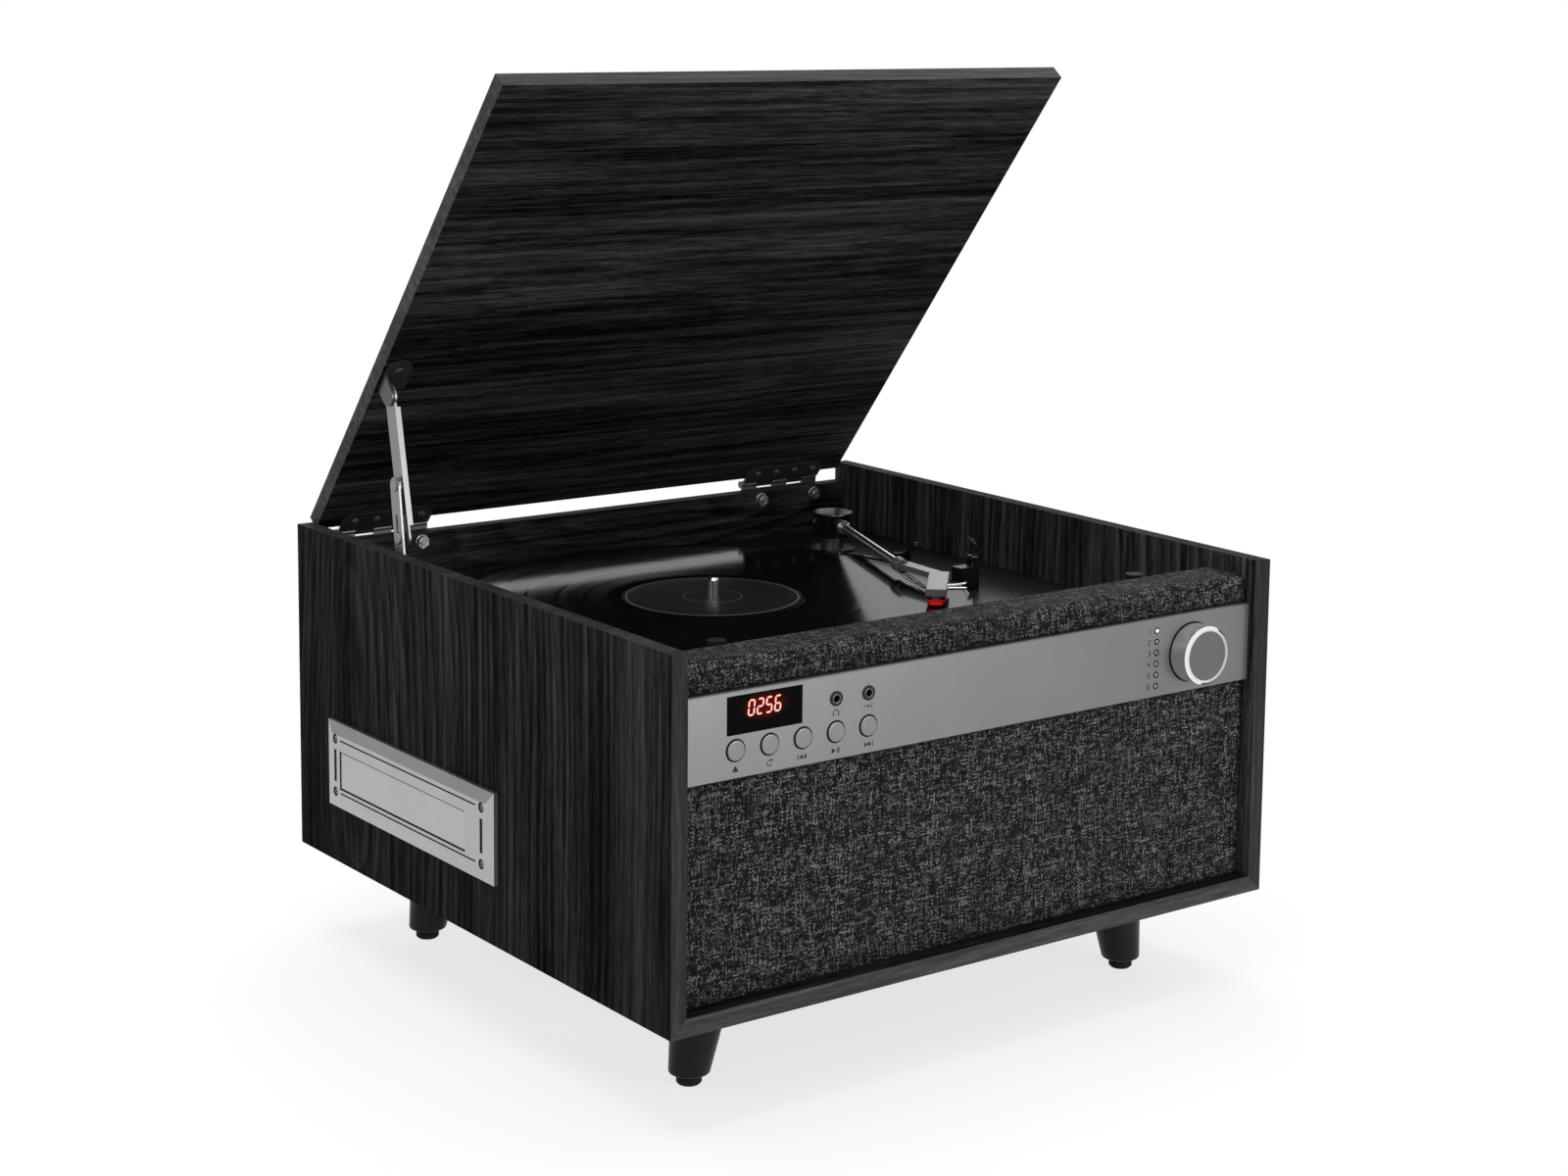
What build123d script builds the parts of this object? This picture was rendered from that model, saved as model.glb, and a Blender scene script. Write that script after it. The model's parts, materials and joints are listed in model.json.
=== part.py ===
from build123d import *
import os
from math import atan2, cos, degrees, hypot, pi, radians, sin, sqrt

# Record player with a CD tray on its left side and a cassette slot on its right.
# Millimetres. +X to the right along the front, +Y to the back, +Z up.
# The origin is on the floor, at the middle of the object's footprint.

# Cabinet
cabinet_width = 410.0
cabinet_depth = 399.0
cabinet_height = 195.0
board = 9.5              # foil-covered fibreboard of the sides, bottom, back and lid
foot_height = 53.0
seat_gap = 0.3           # between pieces that lie against each other without glue
shaft_gap = 0.05         # radial, a shaft turning in a bore

# Lid and its two hinges
lid_opening = 51.0       # degrees, held open by the stay
lid_side_gap = 1.0
lid_finger_gap = 5.1     # front edge of the closed lid to the ledge
lid_rear_setback = 5.0   # rear edge of the closed lid to the cabinet's back face
pin_behind = 2.0         # hinge pin behind the cabinet's back face
pin_above_underside = 0.8
pin_radius = 1.4
knuckle_radius = 2.4
leaf_thickness = 1.2
leaf_length = 61.0
leaf_inset = 26.0        # hinge end to the cabinet's side face
lid_leaf_reach = 17.0    # from the pin
lid_leaf_corner = 5.0
body_leaf_drop = 20.0    # below the pin
leaf_screw_from_pin = 11.2
leaf_screw_pitch = 14.8
leaf_screw_count = 4
screw_head = 0.8
screw_head_radius = 2.6
bolt_inset = 9.0         # hinge bolt to the end of the leaf
bolt_radius = 1.9
bolt_below_pin = 9.0
nut_across = 6.6
nut_thickness = 2.4
washer_radius = 4.4
washer_thickness = 0.8
back_panel_drop = 2.6    # top of the back panel below the closed lid's underside

# Front: baffle, cloth and the ledge that the closed lid stops behind
cloth_setback = 8.9      # face of the cloth behind the cabinet's front edges
cloth_thickness = 1.2
baffle_thickness = 12.0
ledge_depth = 31.0       # cloth face to the back of the ledge
ledge_edge_radius = 5.5
rail_step_depth = 13.5
rail_step_drop = 4.8     # below the closed lid's underside
bumper_radius = 5.0
bumper_inset = 60.0
grille_margin = 0.8

# Faceplate and what is on it
plate_setback = 4.8      # face of the plate behind the cabinet's front edges
plate_side_gap = 1.0
plate_bottom = 125.3     # above the cabinet's underside
plate_height = 45.0
plate_wall = 2.0
plate_chamfer = 0.6
display_left = 35.9      # from the cabinet's left face
display_width = 46.5
display_height = 20.0
display_bottom = 147.9
button_first = 41.3
button_pitch = 20.8
button_level = 140.1
button_radius = 5.25
button_clearance = 0.3
button_proud = 1.0
button_travel = 0.8
button_cap = 2.4
jack_columns = (3, 4)    # above the fourth and fifth buttons
jack_level = 157.4
jack_collar_radius = 3.9
jack_bore_radius = 1.8
jack_bore_depth = 14.0
jack_body = 8.0
lamp_before_knob = 27.1
lamp_top_level = 163.3
lamp_pitch = 6.3
lamp_count = 6
lamp_radius = 1.2
knob_from_right = 55.8
knob_level = 147.8
knob_radius = 16.6
knob_length = 12.7
knob_plate_gap = 0.5
knob_chamfer = 1.4
encoder_radius = 3.0
circuit_board = 1.6
board_standoff = 7.2     # back of the plate's front wall to the circuit board

# Loudspeakers
speaker_from_side = 90.5  # from the inside of the cabinet's side
speaker_level = 66.0
speaker_hole = 33.0
speaker_frame_radius = 39.0
speaker_depth = 34.0
speaker_magnet = 12.0
speaker_wall = 2.0
coil_radius = 9.0
magnet_radius = 24.0

# CD player, left side
cd_bezel_width = 190.7
cd_bezel_height = 51.2
cd_bezel_front = 166.4   # from the cabinet's front edge
cd_bezel_bottom = 34.9
bezel_thickness = 4.0
bezel_edge = 2.5         # thickness at the rim, below the bevel
bezel_bevel = 7.0
bezel_screw_inset = (11.0, 9.8)
bezel_screw_radius = 2.9
bezel_screw_depth = 1.2
bezel_groove_gap = 6.2   # from a screw's middle to the end of a groove
bezel_groove_depth = 0.6
bezel_long_groove = 1.0
bezel_short_groove = 3.0
cd_door_width = 145.0
cd_door_height = 22.0
cd_door_front = 195.4
cd_door_bottom = 47.4
door_gap = 0.5
door_thickness = 3.2
tray_width = 133.0
tray_length = 146.0
tray_height = 7.0
tray_floor = 1.6
tray_travel = 132.0
disc_recess_radius = 60.8
disc_recess_depth = 3.4
tray_slot_width = 46.0
cd_chassis_wall = 2.0
cd_chassis_margin = 3.0
hub_radius = 14.0

# Cassette player, right side
cassette_slot_width = 106.0
cassette_slot_height = 14.0
cassette_slot_bottom = 52.0
cassette_bay_depth = 68.0
flap_thickness = 1.6
flap_pin_radius = 1.0
eject_length = 16.0
eject_height = 7.0
eject_travel = 2.0
eject_from_slot = 26.0

# Turntable
spindle_column = 170.7
spindle_row = 212.6      # from the cabinet's front edge
deck_level = 151.8       # top of the deck above the cabinet's underside
deck_thickness = 3.0
record_radius = 150.8
record_thickness = 1.5
record_bead = 2.0
label_radius = 50.0
spindle_radius = 3.55
spindle_rise = 11.3      # above the record
platter_radius = 126.0
platter_thickness = 4.0
platter_gap = 1.2        # under the platter's drive ring
drive_ring_radius = 62.0
drive_ring_height = 3.8
drive_ring_wall = 3.0
mat_thickness = 1.8
bearing_radius = 8.0
bearing_depth = 22.0
pulley_distance = 88.0
pulley_angle = 215.0
pulley_radius = 5.0
belt_width = 3.0
belt_thickness = 0.8
belt_gap = 0.3
motor_radius = 15.0
motor_height = 24.0

# Tonearm
arm_pivot_from_right = 62.0
arm_pivot_from_back = 67.0
arm_base_flange_radius = 15.0
arm_base_flange = 1.5
arm_base_radius = 7.4
arm_base_height = 8.0
gimbal_radius = 13.0     # of the disc on top
gimbal_body_radius = 10.8
gimbal_bar_width = 9.0
gimbal_bar_height = 9.0
gimbal_height = 16.0
gimbal_rim = 1.4
arm_axis_level = 171.0
arm_angle = 20.9         # of the tube from straight ahead, with the stylus over the record
arm_tube_length = 148.0
arm_tube_radius = 2.8
arm_sleeve_radius = 3.6
arm_sleeve_end = 24.0    # along the tube from the pivot
arm_ring_radius = 4.4
arm_ring_end = 26.6
trunnion_radius = 1.5
neck_inset = 0.8         # of the wedge below and inside the headshell
head_length = 50.0
head_width = 12.2
head_thickness = 4.3
head_angle = 41.4
head_top_level = 174.0
head_from_pivot = (-53.0, -175.0)
stylus_clearance = 0.3
rest_from_pivot = (-9.0, -144.0)
rest_width = 10.0
rest_depth = 9.0
rest_wall = 3.0
rest_wall_gap = 1.8      # to the collar of the parked arm
clip_pin_radius = 1.1
clip_plate = 1.2
clip_width = 3.4
clip_open = 50.0         # degrees from over the arm to standing clear of it
cue_from_pivot = (10.0, -60.0)
cue_length = 17.0
cue_rise = 32.0
speed_from_pivot = (-3.0, -44.0)
speed_throw = 12.0

# Lid stay on the left: back and up from the hinge pins, with the lid open
stay_lid_rivet = (-91.4, 95.7)
stay_elbow = (-102.0, 45.6)
stay_folded_drop = 15.5     # elbow below the closed lid's underside
stay_base_level = 9.2       # of the rivet on the side panel, above the deck
stay_head_disc = 6.8        # radius of the arm's head at the lid's rivet
stay_link_lip = 1.1
stay_catch = 12.0           # length of the slot above the link's catch rivet
stay_plate_width = 16.5     # of the bracket's plate on the lid
stay_plate_back = 5.0       # plate behind and ahead of the rivet
stay_plate_ahead = 18.2
stay_plate = 1.2
stay_plane_gap = 0.35
stay_arm_width = 10.4
stay_link_width = 10.0
stay_lip = 2.2
stay_tail = 30.0
stay_rivet_radius = 2.2
stay_head_radius = 3.4
stay_head = 0.9

# Inside and at the back
cleat_width = 12.0
cleat_height = 15.0
main_board_size = (150.0, 90.0)
main_board_from_right = 60.5
main_board_from_back = 70.0
main_board_standoff = 6.0
heat_sink_length = 40.0
heat_sink_height = 22.4
fin_count = 6
fin_pitch = 5.0
fin_thickness = 1.6
capacitor_radius = 9.0
capacitor_height = 24.4
capacitor_pitch = 25.0
terminal_width = 66.0
terminal_height = 26.0
terminal_level = 40.0
rca_radius = 4.15
rca_length = 8.0
rca_pitch = 15.0
dc_radius = 5.5
dc_bore_radius = 2.8

# Main planes of the object
rear_reach = pin_behind + knuckle_radius
front_reach = knob_length + knob_plate_gap - plate_setback
left = -cabinet_width / 2
right = cabinet_width / 2
front = -(front_reach + cabinet_depth + rear_reach) / 2 + front_reach
back = front + cabinet_depth
base = foot_height
top = base + cabinet_height
inner_left = left + board
inner_right = right - board
inner_back = back - board
lid_underside = top - board
cloth_face = front + cloth_setback
baffle_front = cloth_face + cloth_thickness
baffle_back = baffle_front + baffle_thickness
ledge_back = cloth_face + ledge_depth
rail_back = ledge_back + rail_step_depth
deck_top = base + deck_level
deck_under = deck_top - deck_thickness
back_top = lid_underside - back_panel_drop


def block(x0, x1, y0, y1, z0, z1):
    return Pos((x0 + x1) / 2, (y0 + y1) / 2, (z0 + z1) / 2) * Box(x1 - x0, y1 - y0, z1 - z0)


def rod_x(x0, x1, y, z, radius):
    return Pos((x0 + x1) / 2, y, z) * Rot(0, 90, 0) * Cylinder(radius, x1 - x0)


def rod_y(x, y0, y1, z, radius):
    return Pos(x, (y0 + y1) / 2, z) * Rot(90, 0, 0) * Cylinder(radius, y1 - y0)


def rod_z(x, y, z0, z1, radius):
    return Pos(x, y, (z0 + z1) / 2) * Cylinder(radius, z1 - z0)


def ring_z(x, y, z0, z1, outer, inner):
    return rod_z(x, y, z0, z1, outer) - rod_z(x, y, z0 - 1, z1 + 1, inner)


def slab_xz(points, y0, y1):
    """Outline of (x, z) points, extruded from y0 to y1."""
    face = make_face(Polyline(*[(x, y0, z) for x, z in points], close=True))
    return extrude(face, y1 - y0, dir=(0, 1, 0))


def slab_yz(points, x0, x1):
    """Outline of (y, z) points, extruded from x0 to x1."""
    face = make_face(Polyline(*[(x0, y, z) for y, z in points], close=True))
    return extrude(face, x1 - x0, dir=(1, 0, 0))


def slab_xy(points, z0, z1):
    """Outline of (x, y) points, extruded from z0 to z1."""
    face = make_face(Polyline(*[(x, y, z0) for x, y in points], close=True))
    return extrude(face, z1 - z0, dir=(0, 0, 1))


def link_plate(a, b, width, x0, x1):
    """Flat bar with round ends between two (y, z) points, in the plane x0 to x1."""
    length = hypot(b[0] - a[0], b[1] - a[1])
    bar = Pos(0, length / 2, 0) * Box(x1 - x0, length, width)
    ends = [Pos(0, y, 0) * Rot(0, 90, 0) * Cylinder(width / 2, x1 - x0) for y in (0, length)]
    turn = degrees(atan2(b[1] - a[1], b[0] - a[0]))
    return Pos((x0 + x1) / 2, a[0], a[1]) * Rot(turn, 0, 0) * (bar + ends[0] + ends[1])


def face_edges(solid, axis, last=True):
    """Edges of the face that lies furthest along an axis."""
    return solid.faces().sort_by(axis)[-1 if last else 0].edges()


pieces = {}


# Cabinet: two sides and a bottom mitred together, a back let in between them
def side_panel(sign):
    outer = sign * cabinet_width / 2
    inner = outer - sign * board
    panel = slab_xz([(outer, base), (outer, top), (inner, top), (inner, base + board)], front, back)
    return panel


cd_cut_y0 = front + cd_door_front - cd_chassis_margin
cd_cut_y1 = cd_cut_y0 + cd_door_width + 2 * cd_chassis_margin
cd_cut_z0 = base + cd_door_bottom - cd_chassis_margin
cd_cut_z1 = cd_cut_z0 + cd_door_height + 2 * cd_chassis_margin
cassette_middle = front + cd_bezel_front + cd_bezel_width / 2
slot_z0 = base + cassette_slot_bottom
slot_z1 = slot_z0 + cassette_slot_height
bay_wall = cd_chassis_wall
cassette_cut_y0 = cassette_middle - cassette_slot_width / 2 - bay_wall - door_gap
cassette_cut_y1 = cassette_middle + cassette_slot_width / 2 + bay_wall + door_gap
bay_z0 = slot_z0 - flap_thickness
bay_z1 = slot_z1 + 3 * flap_thickness
cassette_cut_z0 = bay_z0 - bay_wall - door_gap
cassette_cut_z1 = bay_z1 + bay_wall + door_gap

pieces["side_panel_left"] = side_panel(-1) - block(left - 1, inner_left + 1, cd_cut_y0, cd_cut_y1, cd_cut_z0, cd_cut_z1)
pieces["side_panel_right"] = side_panel(1) - block(
    inner_right - 1, right + 1, cassette_cut_y0, cassette_cut_y1, cassette_cut_z0, cassette_cut_z1
)

bottom_outline = [(left, base), (right, base), (inner_right, base + board), (inner_left, base + board)]
bottom = slab_xz(bottom_outline, front, back)
vent_length = 40.0
vent_width = 4.0
vent_pitch = 12.0
vent_count = 7
for i in range(vent_count):
    vent_y = front + cabinet_depth / 2 + (i - (vent_count - 1) / 2) * vent_pitch
    bottom -= block(-vent_length / 2, vent_length / 2, vent_y - vent_width / 2, vent_y + vent_width / 2, base - 1, base + board + 1)
pieces["bottom_panel"] = bottom

terminal_z0 = base + terminal_level
terminal_z1 = terminal_z0 + terminal_height
back_panel = block(inner_left, inner_right, inner_back, back, base + board, back_top)
back_panel -= block(-terminal_width / 2, terminal_width / 2, inner_back - 1, back + 1, terminal_z0, terminal_z1)

# Lid, closed, and the line of its hinge pins
pin_y = back + pin_behind
pin_z = lid_underside + pin_above_underside
pin_axis = Axis((0, pin_y, pin_z), (1, 0, 0))
lid_rear = back - lid_rear_setback
lid_front = ledge_back + lid_finger_gap


def opened(solid):
    """A piece modelled with the lid closed, turned with the lid to where it rests open."""
    return solid.rotate(pin_axis, -lid_opening)


pieces["lid"] = opened(
    block(inner_left + lid_side_gap, inner_right - lid_side_gap, lid_front, lid_rear, lid_underside, top)
)

hinge_ends = [(left + leaf_inset, left + leaf_inset + leaf_length)]
hinge_ends.append((right - leaf_inset - leaf_length, right - leaf_inset))
knuckle = leaf_length / 5
knuckle_gap = 0.2


def knuckles(x0, odd):
    """Every second fifth of the hinge's barrel."""
    barrel = None
    for i in range(5):
        if i % 2 == odd:
            start = x0 + i * knuckle + (knuckle_gap if i > 0 else 0)
            end = x0 + (i + 1) * knuckle - (knuckle_gap if i < 4 else 0)
            tube = rod_x(start, end, pin_y, pin_z, knuckle_radius)
            barrel = tube if barrel is None else barrel + tube
    return barrel


lid_leaves = []
body_leaves = []
hinge_bolts = []
leaf_z1 = lid_underside
leaf_z0 = leaf_z1 - leaf_thickness
leaf_front = pin_y - lid_leaf_reach
for x0, x1 in hinge_ends:
    outline = [(x0, pin_y), (x0, leaf_front + lid_leaf_corner), (x0 + lid_leaf_corner, leaf_front)]
    outline += [(x1 - lid_leaf_corner, leaf_front), (x1, leaf_front + lid_leaf_corner), (x1, pin_y)]
    leaf = slab_xy(outline, leaf_z0, leaf_z1)
    for i in (0, 2, 4):
        notch_0 = x0 + i * knuckle - 1
        notch_1 = x0 + (i + 1) * knuckle + knuckle_gap
        if i > 0:
            notch_0 = x0 + i * knuckle - knuckle_gap
        if i == 4:
            notch_1 += 1
        leaf -= block(notch_0, notch_1, pin_y - knuckle_radius - 3 * knuckle_gap, pin_y + 1, leaf_z0 - 1, leaf_z1 + 1)
    leaf += knuckles(x0, 1)
    leaf -= rod_x(x0 - 1, x1 + 1, pin_y, pin_z, pin_radius + shaft_gap)
    middle = (x0 + x1) / 2
    for i in range(leaf_screw_count):
        screw_x = middle + (i - (leaf_screw_count - 1) / 2) * leaf_screw_pitch
        head = rod_z(screw_x, pin_y - leaf_screw_from_pin, leaf_z0 - screw_head, leaf_z0, screw_head_radius)
        leaf += fillet(face_edges(head, Axis.Z, last=False), screw_head * 0.6)
    lid_leaves.append(opened(leaf))

    plate = block(x0, x1, back, back + leaf_thickness, pin_z - body_leaf_drop, pin_z)
    for i in (1, 3):
        plate -= block(
            x0 + i * knuckle - knuckle_gap, x0 + (i + 1) * knuckle + knuckle_gap,
            back - 1, back + 4, pin_z - knuckle_radius - 3 * knuckle_gap, pin_z + 1,
        )
    plate += knuckles(x0, 0)
    plate += rod_x(x0, x1, pin_y, pin_z, pin_radius)
    bolt_z = pin_z - bolt_below_pin
    for bolt_x in (x0 + bolt_inset, x1 - bolt_inset):
        plate -= rod_y(bolt_x, back - 1, back + 4, bolt_z, bolt_radius + seat_gap)
        back_panel -= rod_y(bolt_x, inner_back - 1, back + 1, bolt_z, bolt_radius + seat_gap)
        shank_end = inner_back - washer_thickness - nut_thickness - 0.8
        bolt = rod_y(bolt_x, shank_end, back + leaf_thickness, bolt_z, bolt_radius)
        bolt += rod_y(bolt_x, back + leaf_thickness, back + leaf_thickness + 1.6, bolt_z, 3.6)
        washer = rod_y(bolt_x, inner_back - washer_thickness, inner_back, bolt_z, washer_radius)
        hexagon = Plane((bolt_x, inner_back - washer_thickness, bolt_z), z_dir=(0, -1, 0))
        nut = extrude(hexagon * RegularPolygon(nut_across / 2, 6, major_radius=False), nut_thickness)
        hinge_bolts.append(bolt + washer + nut)
    body_leaves.append(plate)
pieces["hinge_lid_leaves"] = Compound(lid_leaves)
pieces["hinge_body_leaves"] = Compound(body_leaves)
pieces["hinge_bolts"] = Compound(hinge_bolts)
pieces["back_panel"] = back_panel


# Front: baffle board, its rail behind the ledge, and the cloth over both
ledge_top = lid_underside
core_top = ledge_top - cloth_thickness
window_x0 = left + display_left - 12
window_x1 = right - knob_from_right + knob_radius + 16
window_z0 = base + plate_bottom + 4
window_z1 = base + plate_bottom + plate_height - 4
baffle = block(inner_left, inner_right, baffle_front, baffle_back, base + board, core_top)
baffle = fillet(baffle.edges().filter_by(Axis.X).group_by(Axis.Z)[-1].sort_by(Axis.Y)[0], ledge_edge_radius - cloth_thickness)
baffle -= block(window_x0, window_x1, baffle_front - 1, baffle_back + 1, window_z0, window_z1)
speaker_z = base + speaker_level
speaker_offset = inner_right - speaker_from_side
for sign in (-1, 1):
    baffle -= rod_y(sign * speaker_offset, baffle_front - 1, baffle_back + 1, speaker_z, speaker_hole)
pieces["baffle_board"] = baffle

step_top = lid_underside - rail_step_drop
rail_outline = [(baffle_back, deck_top), (rail_back, deck_top), (rail_back, step_top)]
rail_outline += [(ledge_back - cloth_thickness, step_top), (ledge_back - cloth_thickness, core_top), (baffle_back, core_top)]
pieces["ledge_rail"] = slab_yz(rail_outline, inner_left, inner_right)

cloth_x0 = inner_left + grille_margin
cloth_x1 = inner_right - grille_margin
plate_z0 = base + plate_bottom
plate_z1 = plate_z0 + plate_height
cloth_low = block(cloth_x0, cloth_x1, cloth_face, baffle_front, base + board + grille_margin, plate_z0 - seat_gap)
cloth_high = block(cloth_x0, cloth_x1, cloth_face, ledge_back, plate_z1 + seat_gap, ledge_top)
top_edges = cloth_high.edges().filter_by(Axis.X).group_by(Axis.Z)[-1].sort_by(Axis.Y)
cloth_high = fillet(top_edges[0], ledge_edge_radius)
core = block(cloth_x0 - 1, cloth_x1 + 1, baffle_front, ledge_back - cloth_thickness, plate_z1 - 1, core_top)
core = fillet(core.edges().filter_by(Axis.X).group_by(Axis.Z)[-1].sort_by(Axis.Y)[0], ledge_edge_radius - cloth_thickness)
cloth_high -= core
cloth_high -= block(cloth_x0 - 1, cloth_x1 + 1, ledge_back - cloth_thickness - 0.01, ledge_back + 1, plate_z1 - 1, step_top + seat_gap)
pieces["grille_cloth"] = Compound([cloth_low, cloth_high])

# Faceplate: a shallow tray of a panel whose rim stands on the baffle
plate_front = front + plate_setback
plate_inside = plate_front + plate_wall
plate_x0 = inner_left + plate_side_gap
plate_x1 = inner_right - plate_side_gap
plate = block(plate_x0, plate_x1, plate_front, baffle_front, plate_z0, plate_z1)
plate = chamfer(face_edges(plate, Axis.Y, last=False), plate_chamfer)
plate -= block(
    plate_x0 + plate_wall, plate_x1 - plate_wall, plate_inside, baffle_front + 1, plate_z0 + plate_wall, plate_z1 - plate_wall
)
board_front = plate_inside + board_standoff
board_back = board_front + circuit_board
display_x0 = left + display_left
display_z0 = base + display_bottom
plate -= block(
    display_x0, display_x0 + display_width, plate_front - 1, plate_inside + 1, display_z0, display_z0 + display_height
)
button_z = base + button_level
button_x = [left + button_first + i * button_pitch for i in range(5)]
for x in button_x:
    plate -= rod_y(x, plate_front - 1, plate_inside + 1, button_z, button_radius + button_clearance)
jack_z = base + jack_level
jack_x = [button_x[i] for i in jack_columns]
for x in jack_x:
    plate -= rod_y(x, plate_front - 1, plate_inside + 1, jack_z, jack_collar_radius + shaft_gap)
knob_x = right - knob_from_right
lamp_x = knob_x - lamp_before_knob
lamp_z = [base + lamp_top_level - i * lamp_pitch for i in range(lamp_count)]
for z in lamp_z:
    plate -= rod_y(lamp_x, plate_front - 1, plate_inside + 1, z, lamp_radius + shaft_gap)
knob_z = base + knob_level
encoder_bush_radius = encoder_radius + 1.5
plate -= rod_y(knob_x, plate_front - 1, plate_inside + 1, knob_z, encoder_bush_radius + seat_gap)
post_columns = [display_x0 - 6, (button_x[4] + lamp_x) / 2, lamp_x - 12]
post_radius = 2.5
post_z = (window_z0 + window_z1) / 2
for x in post_columns:
    plate += rod_y(x, plate_inside, board_front, post_z, post_radius)
pieces["faceplate"] = plate

lens_gap = 0.15
pieces["display_window"] = block(
    display_x0 + lens_gap, display_x0 + display_width - lens_gap,
    plate_front + 0.2, plate_inside, display_z0 + lens_gap, display_z0 + display_height - lens_gap,
)

# Circuit board behind the plate, with the display, switches and encoder soldered to it
board_margin = 2.0
control = block(
    window_x0 + board_margin, window_x1 - board_margin, board_front, board_back, window_z0 + 1, window_z1 - 1
)
control += block(
    display_x0 + 1, display_x0 + display_width - 1, plate_inside + 0.1, board_front, display_z0 + 1, window_z1 - 1.5
)
switch_size = 6.0
switch_front = board_front - 3.4
for x in button_x:
    control += block(x - switch_size / 2, x + switch_size / 2, switch_front, board_front, button_z - switch_size / 2, button_z + switch_size / 2)
encoder_body = 12.0
encoder_depth = 5.6
encoder_front = board_front - encoder_depth
control += block(knob_x - encoder_body / 2, knob_x + encoder_body / 2, encoder_front, board_front, knob_z - encoder_body / 2, knob_z + encoder_body / 2)
control += rod_y(knob_x, plate_front + 0.4, encoder_front, knob_z, encoder_bush_radius)
control -= rod_y(knob_x, plate_front - 1, board_back - 0.4, knob_z, encoder_radius + shaft_gap)
jack_hole = jack_body / 2 + seat_gap
for x in jack_x:
    control -= block(x - jack_hole, x + jack_hole, board_front - 1, board_back + 1, jack_z - jack_hole, jack_z + jack_hole)
pieces["control_board"] = control

# Push buttons: cap, collar behind the plate, stem to the switch
collar_radius = button_radius + 1.2
stem_end = switch_front - button_travel - 0.1
button_names = ["button_eject", "button_repeat", "button_previous", "button_play", "button_next"]
for name, x in zip(button_names, button_x):
    cap = rod_y(x, plate_front - button_proud, plate_inside + 0.1, button_z, button_radius)
    cap = fillet(face_edges(cap, Axis.Y, last=False), 0.5)
    cap += rod_y(x, plate_inside + 0.1, plate_inside + 0.9, button_z, collar_radius)
    cap += rod_y(x, plate_inside + 0.9, stem_end, button_z, 1.8)
    pieces[name] = cap

jacks = []
jack_front = plate_front - 0.5
for x in jack_x:
    jack = rod_y(x, jack_front, plate_inside, jack_z, jack_collar_radius)
    jack += block(x - jack_body / 2, x + jack_body / 2, plate_inside, jack_front + jack_bore_depth + 1, jack_z - jack_body / 2, jack_z + jack_body / 2)
    jack -= rod_y(x, jack_front - 1, jack_front + jack_bore_depth, jack_z, jack_bore_radius)
    jacks.append(jack)
pieces["front_jacks"] = Compound(jacks)

lamps = []
for z in lamp_z:
    lamp = rod_y(lamp_x, plate_front - 0.3, board_front, z, lamp_radius)
    lamps.append(fillet(face_edges(lamp, Axis.Y, last=False), 0.5))
pieces["source_lamps"] = Compound(lamps)

# Volume knob on its shaft, turned about +Y
knob_back = plate_front - knob_plate_gap
knob_front = knob_back - knob_length
knob = rod_y(knob_x, knob_front, knob_back, knob_z, knob_radius)
knob = chamfer(face_edges(knob, Axis.Y, last=False), knob_chamfer)
knob -= rod_y(knob_x, knob_front - 0.1, knob_front + 0.5, knob_z, knob_radius - knob_chamfer - 0.6)
knob -= rod_y(knob_x, knob_back - 5, knob_back + 1, knob_z, knob_radius - 3)
knob += rod_y(knob_x, knob_back - 6, board_back - 0.8, knob_z, encoder_radius)
pieces["volume_knob"] = knob

# Loudspeakers on the back of the baffle
frames = []
cones = []
for sign in (-1, 1):
    x = sign * speaker_offset
    y0 = baffle_back
    bowl = Plane((x, y0, speaker_z), z_dir=(0, 1, 0)) * Cone(
        speaker_hole + speaker_wall, magnet_radius, speaker_depth - speaker_magnet, align=(Align.CENTER, Align.CENTER, Align.MIN)
    )
    inner = Plane((x, y0, speaker_z), z_dir=(0, 1, 0)) * Cone(
        speaker_hole, magnet_radius - speaker_wall, speaker_depth - speaker_magnet - speaker_wall, align=(Align.CENTER, Align.CENTER, Align.MIN)
    )
    frame = rod_y(x, y0, y0 + speaker_wall, speaker_z, speaker_frame_radius) + bowl - inner
    frame -= rod_y(x, y0 - 1, y0 + speaker_wall, speaker_z, speaker_hole)
    frame += rod_y(x, y0 + speaker_depth - speaker_magnet, y0 + speaker_depth, speaker_z, magnet_radius)
    frames.append(frame)
    cone_depth = speaker_depth - speaker_magnet - 2 * speaker_wall
    outside = Plane((x, y0 + 0.2, speaker_z), z_dir=(0, 1, 0)) * Cone(
        speaker_hole - 1, coil_radius + 1, cone_depth, align=(Align.CENTER, Align.CENTER, Align.MIN)
    )
    inside = Plane((x, y0 - 0.8, speaker_z), z_dir=(0, 1, 0)) * Cone(
        speaker_hole - 1, coil_radius + 1, cone_depth, align=(Align.CENTER, Align.CENTER, Align.MIN)
    )
    coil_end = y0 + speaker_depth - speaker_magnet - speaker_wall - lens_gap
    coil = rod_y(x, y0 + cone_depth - 1, coil_end, speaker_z, coil_radius)
    cones.append(outside - inside + coil)
pieces["speaker_frames"] = Compound(frames)
pieces["speaker_cones"] = Compound(cones)

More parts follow.
